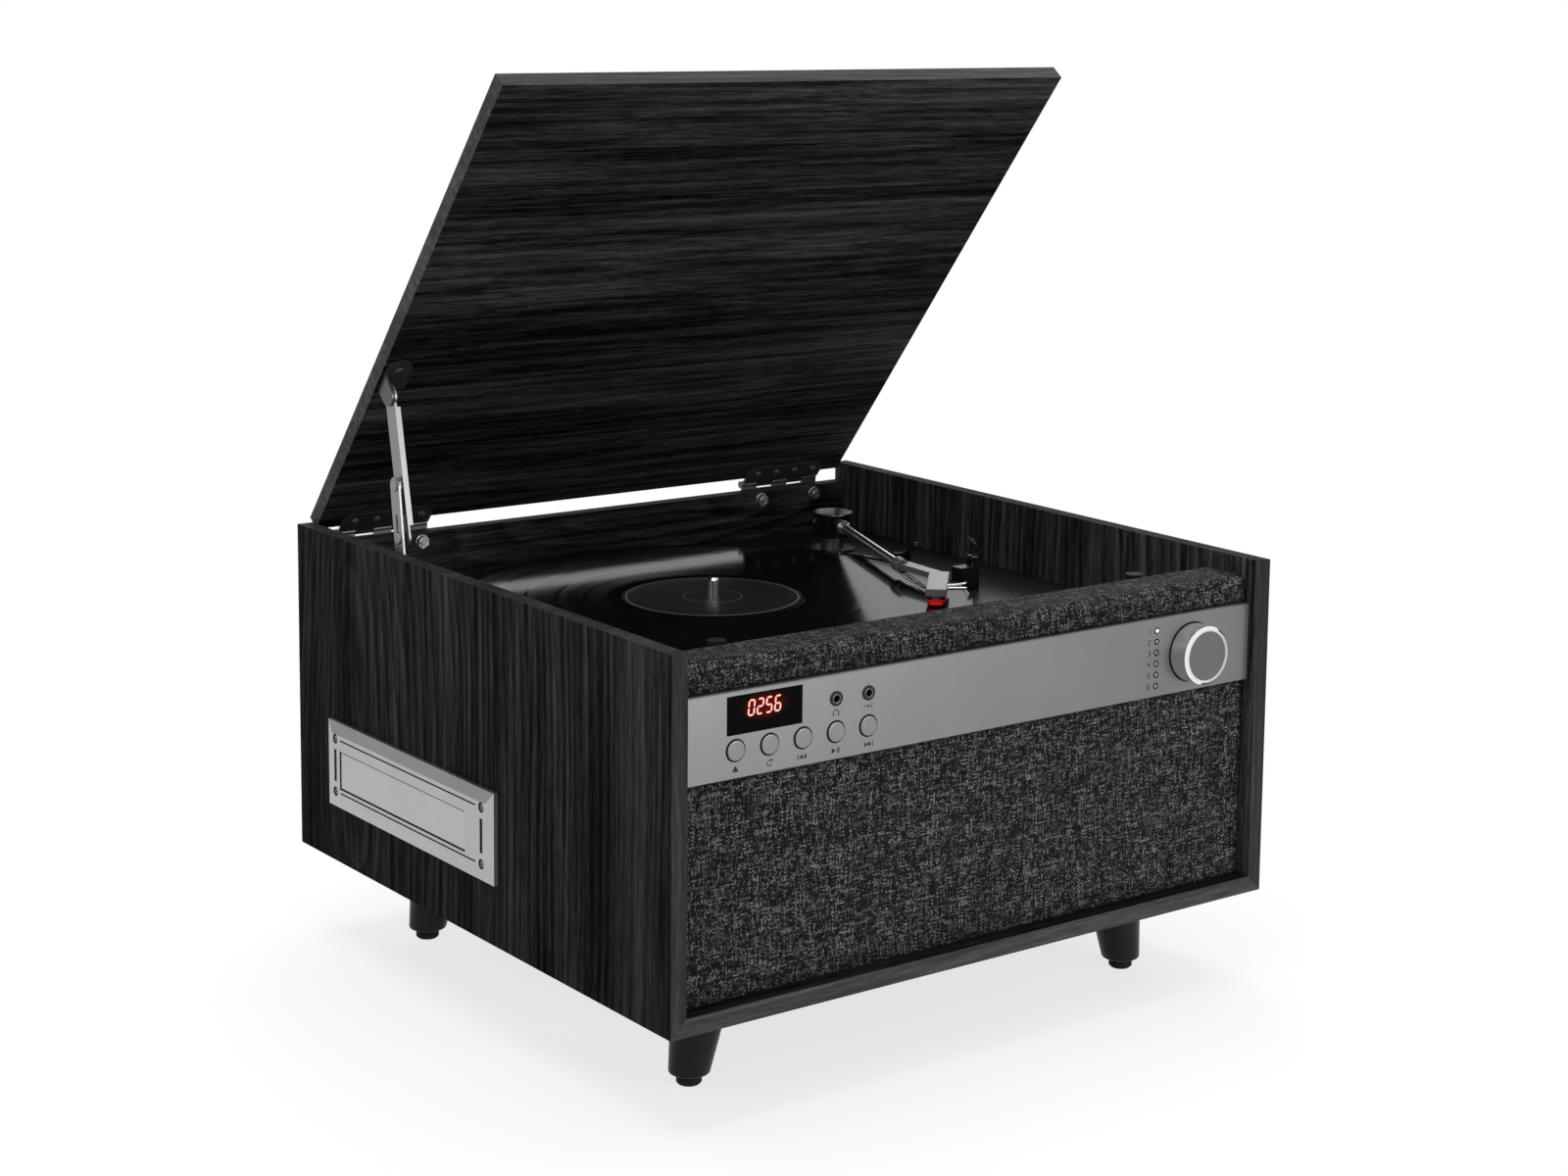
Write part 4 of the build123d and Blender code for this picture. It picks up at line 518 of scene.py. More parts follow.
def outward(piece, offset=0.0, segments=1, merge=False):
    # joins doubled points where asked, turns the faces outwards and rounds the edges by offset
    shape = bmesh.new()
    shape.from_mesh(piece.data)
    if merge:
        bmesh.ops.remove_doubles(shape, verts=shape.verts[:], dist=0.0000001)
    bmesh.ops.recalc_face_normals(shape, faces=shape.faces[:])
    if offset:
        bmesh.ops.bevel(shape, geom=shape.edges[:], offset=offset, segments=segments, affect="EDGES")
    shape.to_mesh(piece.data)
    shape.free()


def gridFaces(rows, columns, closedRows=False, closedColumns=True, flip=False):
    # quads between the points of a grid, one row after the other
    faces = []
    for i in range(rows if closedRows else rows - 1):
        for k in range(columns if closedColumns else columns - 1):
            a, b = i * columns + k, i * columns + (k + 1) % columns
            above = (i + 1) % rows * columns
            c, d = above + (k + 1) % columns, above + k
            faces.append((a, d, c, b) if flip else (a, b, c, d))
    return faces


def circle(x, y, radius, steps):
    turns = [2 * pi * i / steps for i in range(steps)]
    return [(x + radius * cos(t), y + radius * sin(t)) for t in turns]


def tweedMaterial():
    tree, shader = newMaterial("tweedCloth", Specular_IOR_Level=0.15)
    uv = addNode(tree, "ShaderNodeUVMap", uv_map="UVMap").outputs[0]
    weave = addNode(tree, "ShaderNodeGroup", {"Vector": uv}, node_tree=tweed).outputs
    surface(tree, shader, weave["Color"], 0.9, weave["Height"], 0.7, 0.0004)


tweedMaterial()
# endGap is left under the cloth, and seamGap above and below the faceplate
cloth = {"thickness": 0.0011, "edgeRadius": 0.0055, "backRadius": 0.0022, "tuck": 0.0046, "inset": 0.0001,
         "endGap": 0.0002, "seamGap": 0.0004, "columns": 60}


def clothStrip(name, profile, x0, x1):
    # profile is a list of (y, z) points over the front; the strip is as wide as x0 to x1
    lengths = [0.0]
    for a, b in zip(profile, profile[1:]):
        lengths.append(lengths[-1] + sqrt((b[0] - a[0]) ** 2 + (b[1] - a[1]) ** 2))
    verts, uvs = [], []
    row = cloth["columns"] + 1
    for (y, z), length in zip(profile, lengths):
        for k in range(row):
            x = x0 + (x1 - x0) * k / cloth["columns"]
            verts.append((x, y, z))
            uvs.append((x + 0.5, length + 0.1))
    faces = gridFaces(len(profile), row, closedColumns=False)
    piece = meshPiece(name, verts, faces, "tweedCloth", None, uvs, True)
    wall = piece.modifiers.new("thickness", "SOLIDIFY")
    wall.thickness = cloth["thickness"]
    wall.offset = -1.0
    settle(piece)
    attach(piece, "cabinet")
    return piece, lengths[-1]


low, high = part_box("grille_cloth")
plateLow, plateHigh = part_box("faceplate")
face = low.y + cloth["inset"]
top = high.z - cloth["inset"]
lowerStart, lowerEnd = low.z + cloth["endGap"], plateLow.z - cloth["seamGap"]
lowerProfile = [(face, lowerStart + (lowerEnd - lowerStart) * i / 24) for i in range(25)]
lowerCloth, lowerLength = clothStrip("grilleClothLower", lowerProfile, low.x, high.x)
radius, curl = cloth["edgeRadius"], cloth["backRadius"]
upperStart = plateHigh.z + cloth["seamGap"]
upperProfile = [(face, upperStart + (top - radius - upperStart) * i / 3) for i in range(4)]
for i in range(1, 9):
    angle = i / 8 * pi / 2
    upperProfile.append((face + radius - radius * cos(angle), top - radius + radius * sin(angle)))
backEdge = high.y - cloth["inset"]
for i in range(1, 7):
    upperProfile.append((face + radius + (backEdge - curl - face - radius) * i / 6, top))
for i in range(1, 5):
    angle = i / 4 * pi / 2
    upperProfile.append((backEdge - curl + curl * sin(angle), top - curl + curl * cos(angle)))
upperProfile.append((backEdge, top - cloth["tuck"]))
upperCloth, upperLength = clothStrip("grilleClothUpper", upperProfile, low.x, high.x)
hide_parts("grille_cloth")
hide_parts("grille_cloth")
print("cloth stretched")


# marks on the faceplate: flat pieces just proud of it, which are print, painted shade and painted highlights

def flatMark(name, polygons, material="screenPrint", depth=0.00006, y=plateLow.y):
    # polygons of (x, z) points, facing the front
    verts, faces = [], []
    for polygon in polygons:
        start = len(verts)
        area = sum(a[0] * b[1] - b[0] * a[1] for a, b in zip(polygon, polygon[1:] + polygon[:1]))
        points = polygon if area > 0 else polygon[::-1]
        count = len(points)
        verts += [(x, y - depth, z) for x, z in points] + [(x, y, z) for x, z in points]
        faces.append(tuple(range(start, start + count)))
        faces.append(tuple(range(start + 2 * count - 1, start + count - 1, -1)))
        for i in range(count):
            j = (i + 1) % count
            faces.append((start + i, start + count + i, start + count + j, start + j))
    return meshPiece(name, verts, faces, material, "cabinet")


def bar(x0, x1, z0, z1):
    return [(x0, z0), (x1, z0), (x1, z1), (x0, z1)]


def triangle(x, z, size, direction):
    # direction 1 points right, -1 left, 0 up
    h = size / 2
    if direction == 0:
        return [(x - h, z - h * 0.7), (x + h, z - h * 0.7), (x, z + h * 0.9)]
    return [(x - h * 0.8 * direction, z - h), (x + h * 0.9 * direction, z), (x - h * 0.8 * direction, z + h)]


def arcBand(x, z, radius, width, start, end, steps=14):
    rows = []
    for r in (radius + width / 2, radius - width / 2):
        turns = [radians(start + (end - start) * i / steps) for i in range(steps + 1)]
        rows.append([(x + r * cos(t), z + r * sin(t)) for t in turns])
    outer, inner = rows
    return [[outer[i], outer[i + 1], inner[i + 1], inner[i]] for i in range(steps)]


# where the icons stand under the buttons' middles, and the two beside the sockets under the sockets' middles
icon = {"size": 0.0034, "line": 0.00045, "drop": 0.0098, "phonesDrop": 0.0075, "auxDrop": 0.0068}
s = icon["size"]
iconShapes = {
    "button_eject": [triangle(0, 0.0004, s, 0), bar(-s / 2, s / 2, -0.0013, -0.0009)],
    "button_repeat": arcBand(0, 0, s * 0.42, icon["line"], 60, 330) + [triangle(s * 0.36, s * 0.40, s * 0.5, -1)],
    "button_previous": [triangle(s * o, 0, s * 0.75, -1) for o in (-0.35, 0.35)]
                       + [bar(-s * 0.95, -s * 0.82, -s * 0.4, s * 0.4)],
    "button_play": [triangle(-s * 0.4, 0, s * 0.85, 1)]
                   + [bar(s * o, s * (o + 0.16), -s * 0.42, s * 0.42) for o in (0.25, 0.58)],
    "button_next": [triangle(s * o, 0, s * 0.75, 1) for o in (-0.35, 0.35)]
                   + [bar(s * 0.82, s * 0.95, -s * 0.4, s * 0.4)],
}
phonesShape = arcBand(0, 0, s * 0.5, icon["line"], 0, 180)
phonesShape += [bar(o * s - 0.00035, o * s + 0.00035, -s * 0.42, 0) for o in (-0.5, 0.5)]
auxShape = [bar(-s * 0.8, 0.0001, -0.0002, 0.0002), triangle(s * 0.15, 0, s * 0.5, 1),
            bar(s * 0.6, s * 0.72, -s * 0.45, s * 0.45)]
buttonAt = {name: center(name) for name in frame["nodes"] if name.startswith("button_")}
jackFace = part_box("front_jacks")[0].y
jackZ = center("front_jacks").z
iconSpots = [(shapes, buttonAt[name].x, buttonAt[name].z - icon["drop"]) for name, shapes in iconShapes.items()]
iconSpots += [(phonesShape, buttonAt["button_play"].x, jackZ - icon["phonesDrop"]),
              (auxShape, buttonAt["button_next"].x, jackZ - icon["auxDrop"])]
icons = []
for shapes, x, z in iconSpots:
    icons += [[(x + px, z + pz) for px, pz in polygon] for polygon in shapes]
flatMark("faceplateIcons", icons)

segments = {"0": "abcdef", "1": "bc", "2": "abged", "3": "abgcd", "4": "fgbc", "5": "afgcd", "6": "afgedc",
            "7": "abc", "8": "abcdefg", "9": "abcdfg"}


def segmentDigit(digit, x, z, width, height, stroke):
    # seven-segment digit standing on (x, z), leaning a little
    gap, t, half = stroke * 0.28, stroke / 2, height / 2
    # left end or foot of each bar, and whether it lies
    bars = {"a": (0, height, True), "g": (0, half, True), "d": (0, 0, True), "f": (0, half, False),
            "b": (width, half, False), "e": (0, 0, False), "c": (width, 0, False)}
    shapes = []
    for key in segments[digit]:
        bx, bz, flat = bars[key]
        end = (width if flat else half) - gap
        outline = [(gap, 0), (gap + t, t), (end - t, t), (end, 0), (end - t, -t), (gap + t, -t)]
        points = [(bx + a, bz + b) if flat else (bx + b, bz + a) for a, b in outline]
        shapes.append([(x + px + pz * 0.10, z + pz) for px, pz in points])
    return shapes


lampLow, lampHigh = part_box("source_lamps")
# the dark ring round each lamp is painted shade, and the silver arc on its right is a painted highlight
lamp = {"radius": 0.0012, "glow": 0.0009, "well": (0.00155, 0.00070), "rim": (0.00200, 0.00022)}
numeral = {"left": 0.0066, "below": 0.0015, "width": 0.0016, "height": 0.0030, "stroke": 0.00052}
gapShadeRing, knobRing = (0.00565, 0.00070), (0.0158, 0.0030)
lampX = (lampLow.x + lampHigh.x) / 2
lampTop = lampHigh.z - lamp["radius"]
lampZs = [lampTop - i * (lampHigh.z - lampLow.z - 2 * lamp["radius"]) / 5 for i in range(6)]

# painted shade: dark rings in the gaps round the buttons and in the wells round the lamps, and a painted shadow ring
# round the knob's base; painted highlights: silver arcs on the right of the lamps
numerals, gaps, lampShadeRings, lampGlints = [], [], [], []
for i, z in enumerate(lampZs):
    numerals += segmentDigit(str(i + 1), lampX - numeral["left"], z - numeral["below"], numeral["width"],
                             numeral["height"], numeral["stroke"])
    lampShadeRings += arcBand(lampX, z, *lamp["well"], 0, 360, 32)
    lampGlints += arcBand(lampX, z, *lamp["rim"], -75, 75, 12)
for p in buttonAt.values():
    gaps += arcBand(p.x, p.z, *gapShadeRing, 0, 360, 48)
flatMark("sourceNumerals", numerals)
flatMark("buttonGaps", gaps, "wellBlack", 0.00003)
flatMark("lampWells", lampShadeRings, "wellBlack", 0.00004)
flatMark("lampRims", lampGlints, "buttonSilver", 0.00008)
flatMark("knobRing", arcBand(knobAt.x, knobAt.z, *knobRing, 0, 360, 64), "wellBlack", 0.00005)

windowLow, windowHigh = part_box("display_window")
windowMid = (windowLow + windowHigh) / 2
readout = {"text": "0256", "width": 0.0033, "height": 0.0076, "pitch": 0.0054, "left": 0.0004, "raised": 0.0026,
           "stroke": 0.00115, "core": 0.00060, "margin": 0.0004, "halo": (0.0170, 0.0085)}


def glowMaterial(name, tone, strength):
    tree, shader = newMaterial(name, Roughness=0.4, Emission_Strength=strength)
    vector = place(tree)
    flicker = mapRange(tree, noise(tree, vector, 900.0, 1.0), 0.3, 0.7, 0.85, 1.0)
    setInput(tree, shader, "Base Color", (0.3, 0.03, 0.02, 1))
    setInput(tree, shader, "Emission Color", scaled(tree, tone, flicker))


def haloMaterial():
    # the glow behind the digits fades out towards the window's edges
    tree, shader = newMaterial("segmentHalo", Roughness=0.15, Specular_IOR_Level=0.03, Emission_Strength=1.0)
    vector = place(tree, (-windowMid.x, 0, -windowMid.z - readout["raised"]))
    wide, high = readout["halo"]
    away = distance(tree, vector, (1 / wide, 0, 1 / high))
    fade = calc(tree, "POWER", mapRange(tree, away, 0.45, 1.0, 1.0, 0.0), 2.0)
    setInput(tree, shader, "Emission Color", scaled(tree, (0.075, 0.0016, 0.0008), fade))
    setInput(tree, shader, "Base Color", (0.001, 0.001, 0.001, 1))


def readoutShapes(stroke):
    shapes = []
    for i, digit in enumerate(readout["text"]):
        x = windowMid.x + (i - 1.5) * readout["pitch"] - readout["width"] / 2 - readout["left"]
        z = windowMid.z + readout["raised"] - readout["height"] / 2
        shapes += segmentDigit(digit, x, z, readout["width"], readout["height"], stroke)
    return shapes


def lampMaterial():
    tree, shader = newMaterial("lampLit", Roughness=0.3, Emission_Strength=2.0)
    tone = mixColor(tree, noise(tree, place(tree), 800.0), (0.8, 0.8, 0.8, 1), (0.9, 0.9, 0.88, 1))
    setInput(tree, shader, "Emission Color", (1.0, 0.97, 0.9, 1))
    setInput(tree, shader, "Base Color", tone)


haloMaterial()
glowMaterial("segmentRed", (0.95, 0.07, 0.04), 1.0)
glowMaterial("segmentHot", (1.0, 0.72, 0.60), 1.15)
lampMaterial()
edge = readout["margin"]
haloBar = bar(windowLow.x + edge, windowHigh.x - edge, windowLow.z + edge, windowHigh.z - edge)
flatMark("displayHalo", [haloBar], "segmentHalo", 0.00002, windowLow.y)
flatMark("displayDigits", readoutShapes(readout["stroke"]), "segmentRed", 0.00005, windowLow.y)
flatMark("displayCores", readoutShapes(readout["core"]), "segmentHot", 0.00008, windowLow.y)
flatMark("litLamp", [circle(lampX, lampTop, lamp["glow"], 20)], "lampLit", 0.00005, lampLow.y)
print("faceplate marked")


# record label

label = {"rings": (0.0037, 0.02, 0.036, 0.0519, 0.0525), "lift": 0.00012, "steps": 96, "line": 0.0500,
         "innerLine": 0.0170}
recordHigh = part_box("record")[1].z


def labelMaterial():
    tree, shader = newMaterial("labelPaper", Specular_IOR_Level=0.08)
    vector = place(tree, (-spindleAt.x, -spindleAt.y, 0))
    radius = distance(tree, vector)
    ring = mapRange(tree, fromRing(tree, radius, label["line"]), 0.0003, 0.0006, 1.0, 0.0)
    inner = mapRange(tree, fromRing(tree, radius, label["innerLine"]), 0.0002, 0.0005, 0.6, 0.0)
    paper = noise(tree, vector, 1800.0, 2.0, 0.6)
    tone = mixColor(tree, paper, gray(0.006), gray(0.014))
    tone = mixColor(tree, calc(tree, "MAXIMUM", ring, inner), tone, gray(0.16))
    surface(tree, shader, tone, 0.45, paper, 0.2, 0.00003)


labelMaterial()
verts = []
for r in label["rings"]:
    z = recordHigh + (label["lift"] if r < label["rings"][-1] else 0.0)
    verts += [(x, y, z) for x, y in circle(spindleAt.x, spindleAt.y, r, label["steps"])]
faces = gridFaces(len(label["rings"]), label["steps"], flip=True)
meshPiece("recordLabel", verts, faces, "labelPaper", "platter", smooth=True)


# screws: a turned head with a dark cross on it as painted shade for the cross recess, set on every point that is
# handed over

def makeScrewTree():
    tree, inp, out = newGroup("screwHeads", {"Geometry": "Geometry", "Radius": "Float", "Height": "Float",
                                             "Metal": "Material", "Dark": "Material"},
                              {"Geometry": "Geometry"}, "GeometryNodeTree")
    facing = addNode(tree, "GeometryNodeInputNamedAttribute", {"Name": "facing"}, data_type="FLOAT_VECTOR").outputs[0]
    turn = addNode(tree, "FunctionNodeAlignEulerToVector", {"Vector": facing}, axis="Z").outputs[0]
    radius, height = inp.outputs["Radius"], inp.outputs["Height"]
    top = times(tree, radius, 0.72)
    head = addNode(tree, "GeometryNodeMeshCone", {"Vertices": 24, "Side Segments": 1, "Radius Bottom": radius,
                                                  "Radius Top": top, "Depth": height}).outputs["Mesh"]
    longSide = times(tree, radius, 1.05)
    thin = times(tree, radius, 0.24)
    low = times(tree, height, 0.06)
    joinBars, last = [tree.nodes.new("GeometryNodeJoinGeometry") for _ in range(2)]
    for x, y in ((longSide, thin), (thin, longSide)):
        cube = addNode(tree, "GeometryNodeMeshCube", {"Size": combine(tree, x, y, low)}).outputs["Mesh"]
        raised = addNode(tree, "GeometryNodeTransform", {"Geometry": cube, "Translation": combine(tree, z=height)})
        tree.links.new(raised.outputs[0], joinBars.inputs[0])
    for shape, metal in ((head, "Metal"), (joinBars.outputs[0], "Dark")):
        spread = addNode(tree, "GeometryNodeInstanceOnPoints", {"Points": inp.outputs[0], "Instance": shape,
                                                                "Rotation": turn}).outputs[0]
        real = addNode(tree, "GeometryNodeRealizeInstances", {0: spread}).outputs[0]
        done = addNode(tree, "GeometryNodeSetMaterial", {"Geometry": real, "Material": inp.outputs[metal]})
        tree.links.new(done.outputs[0], last.inputs[0])
    tree.links.new(last.outputs[0], out.inputs[0])
    return tree


screwTree = makeScrewTree()
# radius and height of each kind of head
screwHead = {"bezel": (0.0024, 0.0008), "board": (0.0033, 0.0007), "deck": (0.0028, 0.0007),
             "armBase": (0.0015, 0.0005), "trunnion": (0.0019, 0.0005), "hinge": (0.0021, 0.0003)}


def screws(name, body, places, head, metal):
    # places are (point, facing) pairs
    mesh = bpy.data.meshes.new(name)
    mesh.from_pydata([tuple(p) for p, _ in places], [], [])
    layer = mesh.attributes.new("facing", "FLOAT_VECTOR", "POINT")
    for i, (_, facing) in enumerate(places):
        layer.data[i].vector = facing
    piece = newObject(name, mesh)
    modifier = piece.modifiers.new("heads", "NODES")
    modifier.node_group = screwTree
    keys = {item.name: item.identifier for item in screwTree.interface.items_tree if item.in_out == "INPUT"}
    modifier[keys["Radius"]], modifier[keys["Height"]] = screwHead[head]
    modifier[keys["Metal"]] = paint[metal]
    # the cross gets the black of a recess's painted shade
    modifier[keys["Dark"]] = paint["screwRecess"]
    settle(piece)
    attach(piece, body)


bezelScrew = {"insetY": 0.0110, "insetZ": 0.0098, "depth": 0.0012}
for node, side in (("cd_bezel", -1), ("cassette_bezel", 1)):
    low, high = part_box(node)
    x = (low.x if side < 0 else high.x) - side * bezelScrew["depth"]
    spots = [((x, y, z), (side, 0, 0)) for y in (low.y + bezelScrew["insetY"], high.y - bezelScrew["insetY"])
             for z in (low.z + bezelScrew["insetZ"], high.z - bezelScrew["insetZ"])]
    screws(node + "_screws", "cabinet", spots, "bezel", "buttonSilver")

# in from the edges; middle is from the cabinet's middle, ring from the arm's axis
screwIn = {"back": 0.014, "backMiddle": 0.07, "bottomX": 0.020, "bottomY": (0.03, 0.15), "deckX": 0.008,
           "deckFront": 0.030, "deckBack": 0.012, "armRing": 0.0112, "armLift": 0.0015}
low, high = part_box("back_panel")
inset = screwIn["back"]
spots = [(x, high.y, z) for x in (low.x + inset, high.x - inset) for z in (low.z + inset, (low.z + high.z) / 2)]
spots += [(x, high.y, low.z + inset) for x in (-screwIn["backMiddle"], screwIn["backMiddle"])]
screws("backPanelScrews", "cabinet", [(p, (0, 1, 0)) for p in spots], "board", "zincSteel")
low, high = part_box("bottom_panel")
near, far = screwIn["bottomY"]
spots = [((x, y, low.z), (0, 0, -1)) for x in (low.x + screwIn["bottomX"], high.x - screwIn["bottomX"])
         for y in (low.y + near, low.y + far, high.y - far, high.y - near)]
screws("bottomScrews", "cabinet", spots, "board", "zincSteel")
low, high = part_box("deck_plate")
spots = [((x, y, pivotLow.z), (0, 0, 1)) for x in (low.x + screwIn["deckX"], high.x - screwIn["deckX"])
         for y in (low.y + screwIn["deckFront"], high.y - screwIn["deckBack"])]
screws("deckScrews", "cabinet", spots, "deck", "darkNickel")
ring, z = screwIn["armRing"], pivotLow.z + screwIn["armLift"]
spots = [((pivotAt.x + ring * cos(a), pivotAt.y + ring * sin(a), z), (0, 0, 1)) for a in (0.5, 2.6, 4.7)]
screws("armBaseScrews", "cabinet", spots, "armBase", "zincSteel")
print("screws set")


# tubes: wires on the arm, and rings of round section, some of them painted highlights

def tubeMesh(points, radius, sides):
    verts = []
    points = [Vector(p) for p in points]
    side = None
    for i, p in enumerate(points):
        ahead = (points[min(i + 1, len(points) - 1)] - points[max(i - 1, 0)]).normalized()
        if side is None:
            side = ahead.orthogonal().normalized()
        side = (side - ahead * side.dot(ahead)).normalized()
        other = ahead.cross(side)
        verts += [p + side * a + other * b for a, b in circle(0, 0, radius, sides)]
    last = len(verts) - sides
    ends = [tuple(range(sides - 1, -1, -1)), tuple(range(last, last + sides))]
    return verts, gridFaces(len(points), sides) + ends


def ringPiece(name, at, axis, radius, width, steps, material, body):
    # closed ring of round section about an axis: 1 is Y, 2 is Z
    verts = []
    sides = 8
    for cx, cy in circle(0, 0, 1, steps):
        for r, h in circle(radius, 0, width, sides):
            verts.append(Vector(at) + Vector((r * cx, r * cy, h) if axis == 2 else (r * cx, h, -r * cy)))
    faces = gridFaces(steps, sides, closedRows=True, flip=True)
    meshPiece(name, verts, faces, material, body, smooth=True)


gimbalRim = {"below": 0.0007, "radius": 0.01265, "width": 0.00034}
rimAt = (pivotAt.x, pivotAt.y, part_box("arm_gimbal")[1].z - gimbalRim["below"])
ringPiece("gimbalRim", rimAt, 2, gimbalRim["radius"], gimbalRim["width"], 72, "armSilver", "arm_gimbal")
jackRing = {"behind": 0.00012, "radius": 0.00225, "width": 0.00022}
for i, name in enumerate(("button_play", "button_next")):
    spot = (buttonAt[name].x, jackFace + jackRing["behind"], jackZ)
    ringPiece("jackRing%d" % (i + 1), spot, 1, jackRing["radius"], jackRing["width"], 40, "buttonSilver", "cabinet")

# four wires hang from the arm's collar to the back of the cartridge
wire = {"pitch": 0.0017, "radius": 0.00028, "collar": 0.1505, "below": 0.0034, "sag": 0.0016, "sway": 0.0012}
cartHalf = 0.0096
armAlong, armSide = heading(radians(20.9))
armLevel = center("arm_tube").z
collarAt = Vector((pivotAt.x, pivotAt.y, armLevel)) + armAlong * wire["collar"]
wireVerts, wireFaces = [], []
for i in range(4):
    off = (i - 1.5) * wire["pitch"]
    start = collarAt + headSide * off * 0.6 + Vector((0, 0, -wire["below"]))
    end = cartAt - headAlong * cartHalf + headSide * off
    sag = wire["sag"] * (1 + 0.2 * (i % 2))
    sway = wire["sway"] * (1 if i % 2 else -1)
    points = [start.lerp(end, k / 16) - Vector((0, 0, sag * sin(pi * k / 16))) + headSide * sway * sin(pi * k / 8)
              for k in range(17)]
    verts, faces = tubeMesh(points, wire["radius"], 8)
    wireFaces += [tuple(v + len(wireVerts) for v in f) for f in faces]
    wireVerts += verts
meshPiece("headshellWires", wireVerts, wireFaces, "rubber", "tonearm", smooth=True)


def headBlock(name, at, low, high, length, width, foot, material, bevel, rounds):
    # block square to the headshell, with foot as the share that its lower end has of its size
    verts = []
    for z, share in ((low, foot), (high, 1.0)):
        for a, b in ((-0.5, -0.5), (0.5, -0.5), (0.5, 0.5), (-0.5, 0.5)):
            p = at + (headAlong * length * b + headSide * width * a) * share
            verts.append((p.x, p.y, z))
    faces = [(3, 2, 1, 0), (4, 5, 6, 7), (0, 1, 5, 4), (1, 2, 6, 5), (2, 3, 7, 6), (3, 0, 4, 7)]
    outward(meshPiece(name, verts, faces, material, "tonearm"), bevel, rounds)


guard = {"ahead": 0.0035, "low": 0.0004, "high": 0.0029, "length": 0.0136, "width": 0.0112, "foot": 0.82}
headBlock("stylusGuard", cartAt + headAlong * guard["ahead"], recordHigh + guard["low"], recordHigh + guard["high"],
          guard["length"], guard["width"], guard["foot"], "stylusRed", 0.0005, 3)
# the light middle of the cartridge's front, between its black sides
front = {"low": 0.0009, "high": 0.0002, "length": 0.0008, "width": 0.0046}
headBlock("cartridgeFront", cartAt + headAlong * cartHalf, cartLow.z + front["low"], cartHigh.z - front["high"],
          front["length"], front["width"], 1.0, "buttonSilver", 0.00015, 2)

# bright edges of the finger lift
lift = {"below": 0.0015, "out": 0.0052, "length": 0.0118, "ahead": 0.0003, "sweep": 0.002, "rise": 0.0012,
        "half": 0.0010, "radius": 0.00038}
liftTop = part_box("headshell")[1].z - lift["below"]
for i, off in enumerate((-lift["half"], lift["half"])):
    points = []
    for k in range(9):
        t = k / 8
        p = cartAt + headSide * (lift["out"] + lift["length"] * t)
        p += headAlong * (lift["ahead"] - lift["sweep"] * t + off)
        points.append((p.x, p.y, liftTop + lift["rise"] * t * t))
    verts, faces = tubeMesh(points, lift["radius"], 10)
    meshPiece("fingerLiftEdge%d" % (i + 1), verts, faces, "armSilver", "tonearm", smooth=True)
trunnionOut = 0.0125
axisAt = Vector((pivotAt.x, pivotAt.y, armLevel))
spots = [(axisAt + armSide * trunnionOut * k, tuple(armSide * k)) for k in (-1, 1)]
screws("trunnionScrews", "arm_gimbal", spots, "trunnion", "armSilver")

# hinges: dark crosses as painted shade on the lid's screws, and brighter silver rings as painted highlights on the
# edges of the bolts' washers and nuts
hinge = {"pin": (0.2035, 0.2393), "screw": (-0.0112, -0.0028), "pitch": 0.0148, "leaves": (-0.1485, 0.1485),
         "bolts": (-0.170, -0.127, 0.127, 0.170), "bolt": 0.0090}
# distance back, radius, width and steps
hingeGlintRings = {"washerRim": (0.19115, 0.00415, 0.00030, 40), "nutRim": (0.1888, 0.00235, 0.00028, 32)}
dy, dz = hinge["screw"]
screwY = hinge["pin"][0] + dy * cos(lidTilt) + dz * sin(lidTilt)
screwZ = hinge["pin"][1] - dy * sin(lidTilt) + dz * cos(lidTilt)
spots = [((middle + (i - 1.5) * hinge["pitch"], screwY, screwZ), (0, -sin(lidTilt), -cos(lidTilt)))
         for middle in hinge["leaves"] for i in range(4)]
screws("hingeScrews", "lid", spots, "hinge", "zincSteel")
for i, x in enumerate(hinge["bolts"]):
    for name, (y, radius, width, steps) in hingeGlintRings.items():
        spot = (x, y, hinge["pin"][1] - hinge["bolt"])
        ringPiece("%s%d" % (name, i + 1), spot, 1, radius, width, steps, "armSilver", "cabinet")

# phono sockets at the back: a coloured ring in each
phono = {"radius": 0.0025, "width": 0.0014, "proud": 0.0002}
low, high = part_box("terminal_plate")
for name, x, color in (("phonoRingLeft", -0.019, "phonoWhite"), ("phonoRingRight", -0.004, "phonoRed")):
    bands = arcBand(x, (low.z + high.z) / 2, phono["radius"], phono["width"], 0, 360, 32)
    outward(flatMark(name, bands, color, -phono["proud"], high.y), merge=True)
print("arm and fittings dressed")


# studio

def shownRays(tree):
    # 1 for the rays that show a surface, 0 for those that carry its light to others
    rays = addNode(tree, "ShaderNodeLightPath").outputs
    shown = calc(tree, "MAXIMUM", rays["Is Camera Ray"], rays["Is Transmission Ray"])
    return calc(tree, "MAXIMUM", shown, rays["Is Glossy Ray"])


# the lit floor round the object fades to plain white from near to far
ground = {"half": 30.0, "near": 0.24, "far": 0.52, "white": 0.74}
skyLight, skyShown = 0.40, 1.0
# place, target, width, height and power
lights = {
    "keyLeft": ((-2.3, -1.2, 1.5), (0, 0, 0.2), 1.4, 1.4, 18),
    "frontLow": ((0.55, -1.75, 0.30), (-0.15, -0.2, 0.2), 0.5, 0.55, 17),
    "topSoft": ((0.0, 0.3, 2.6), (0, 0, 0.2), 2.4, 2.4, 56),
    "backRim": ((1.4, 2.2, 1.6), (0, 0, 0.3), 1.4, 1.2, 20),
}


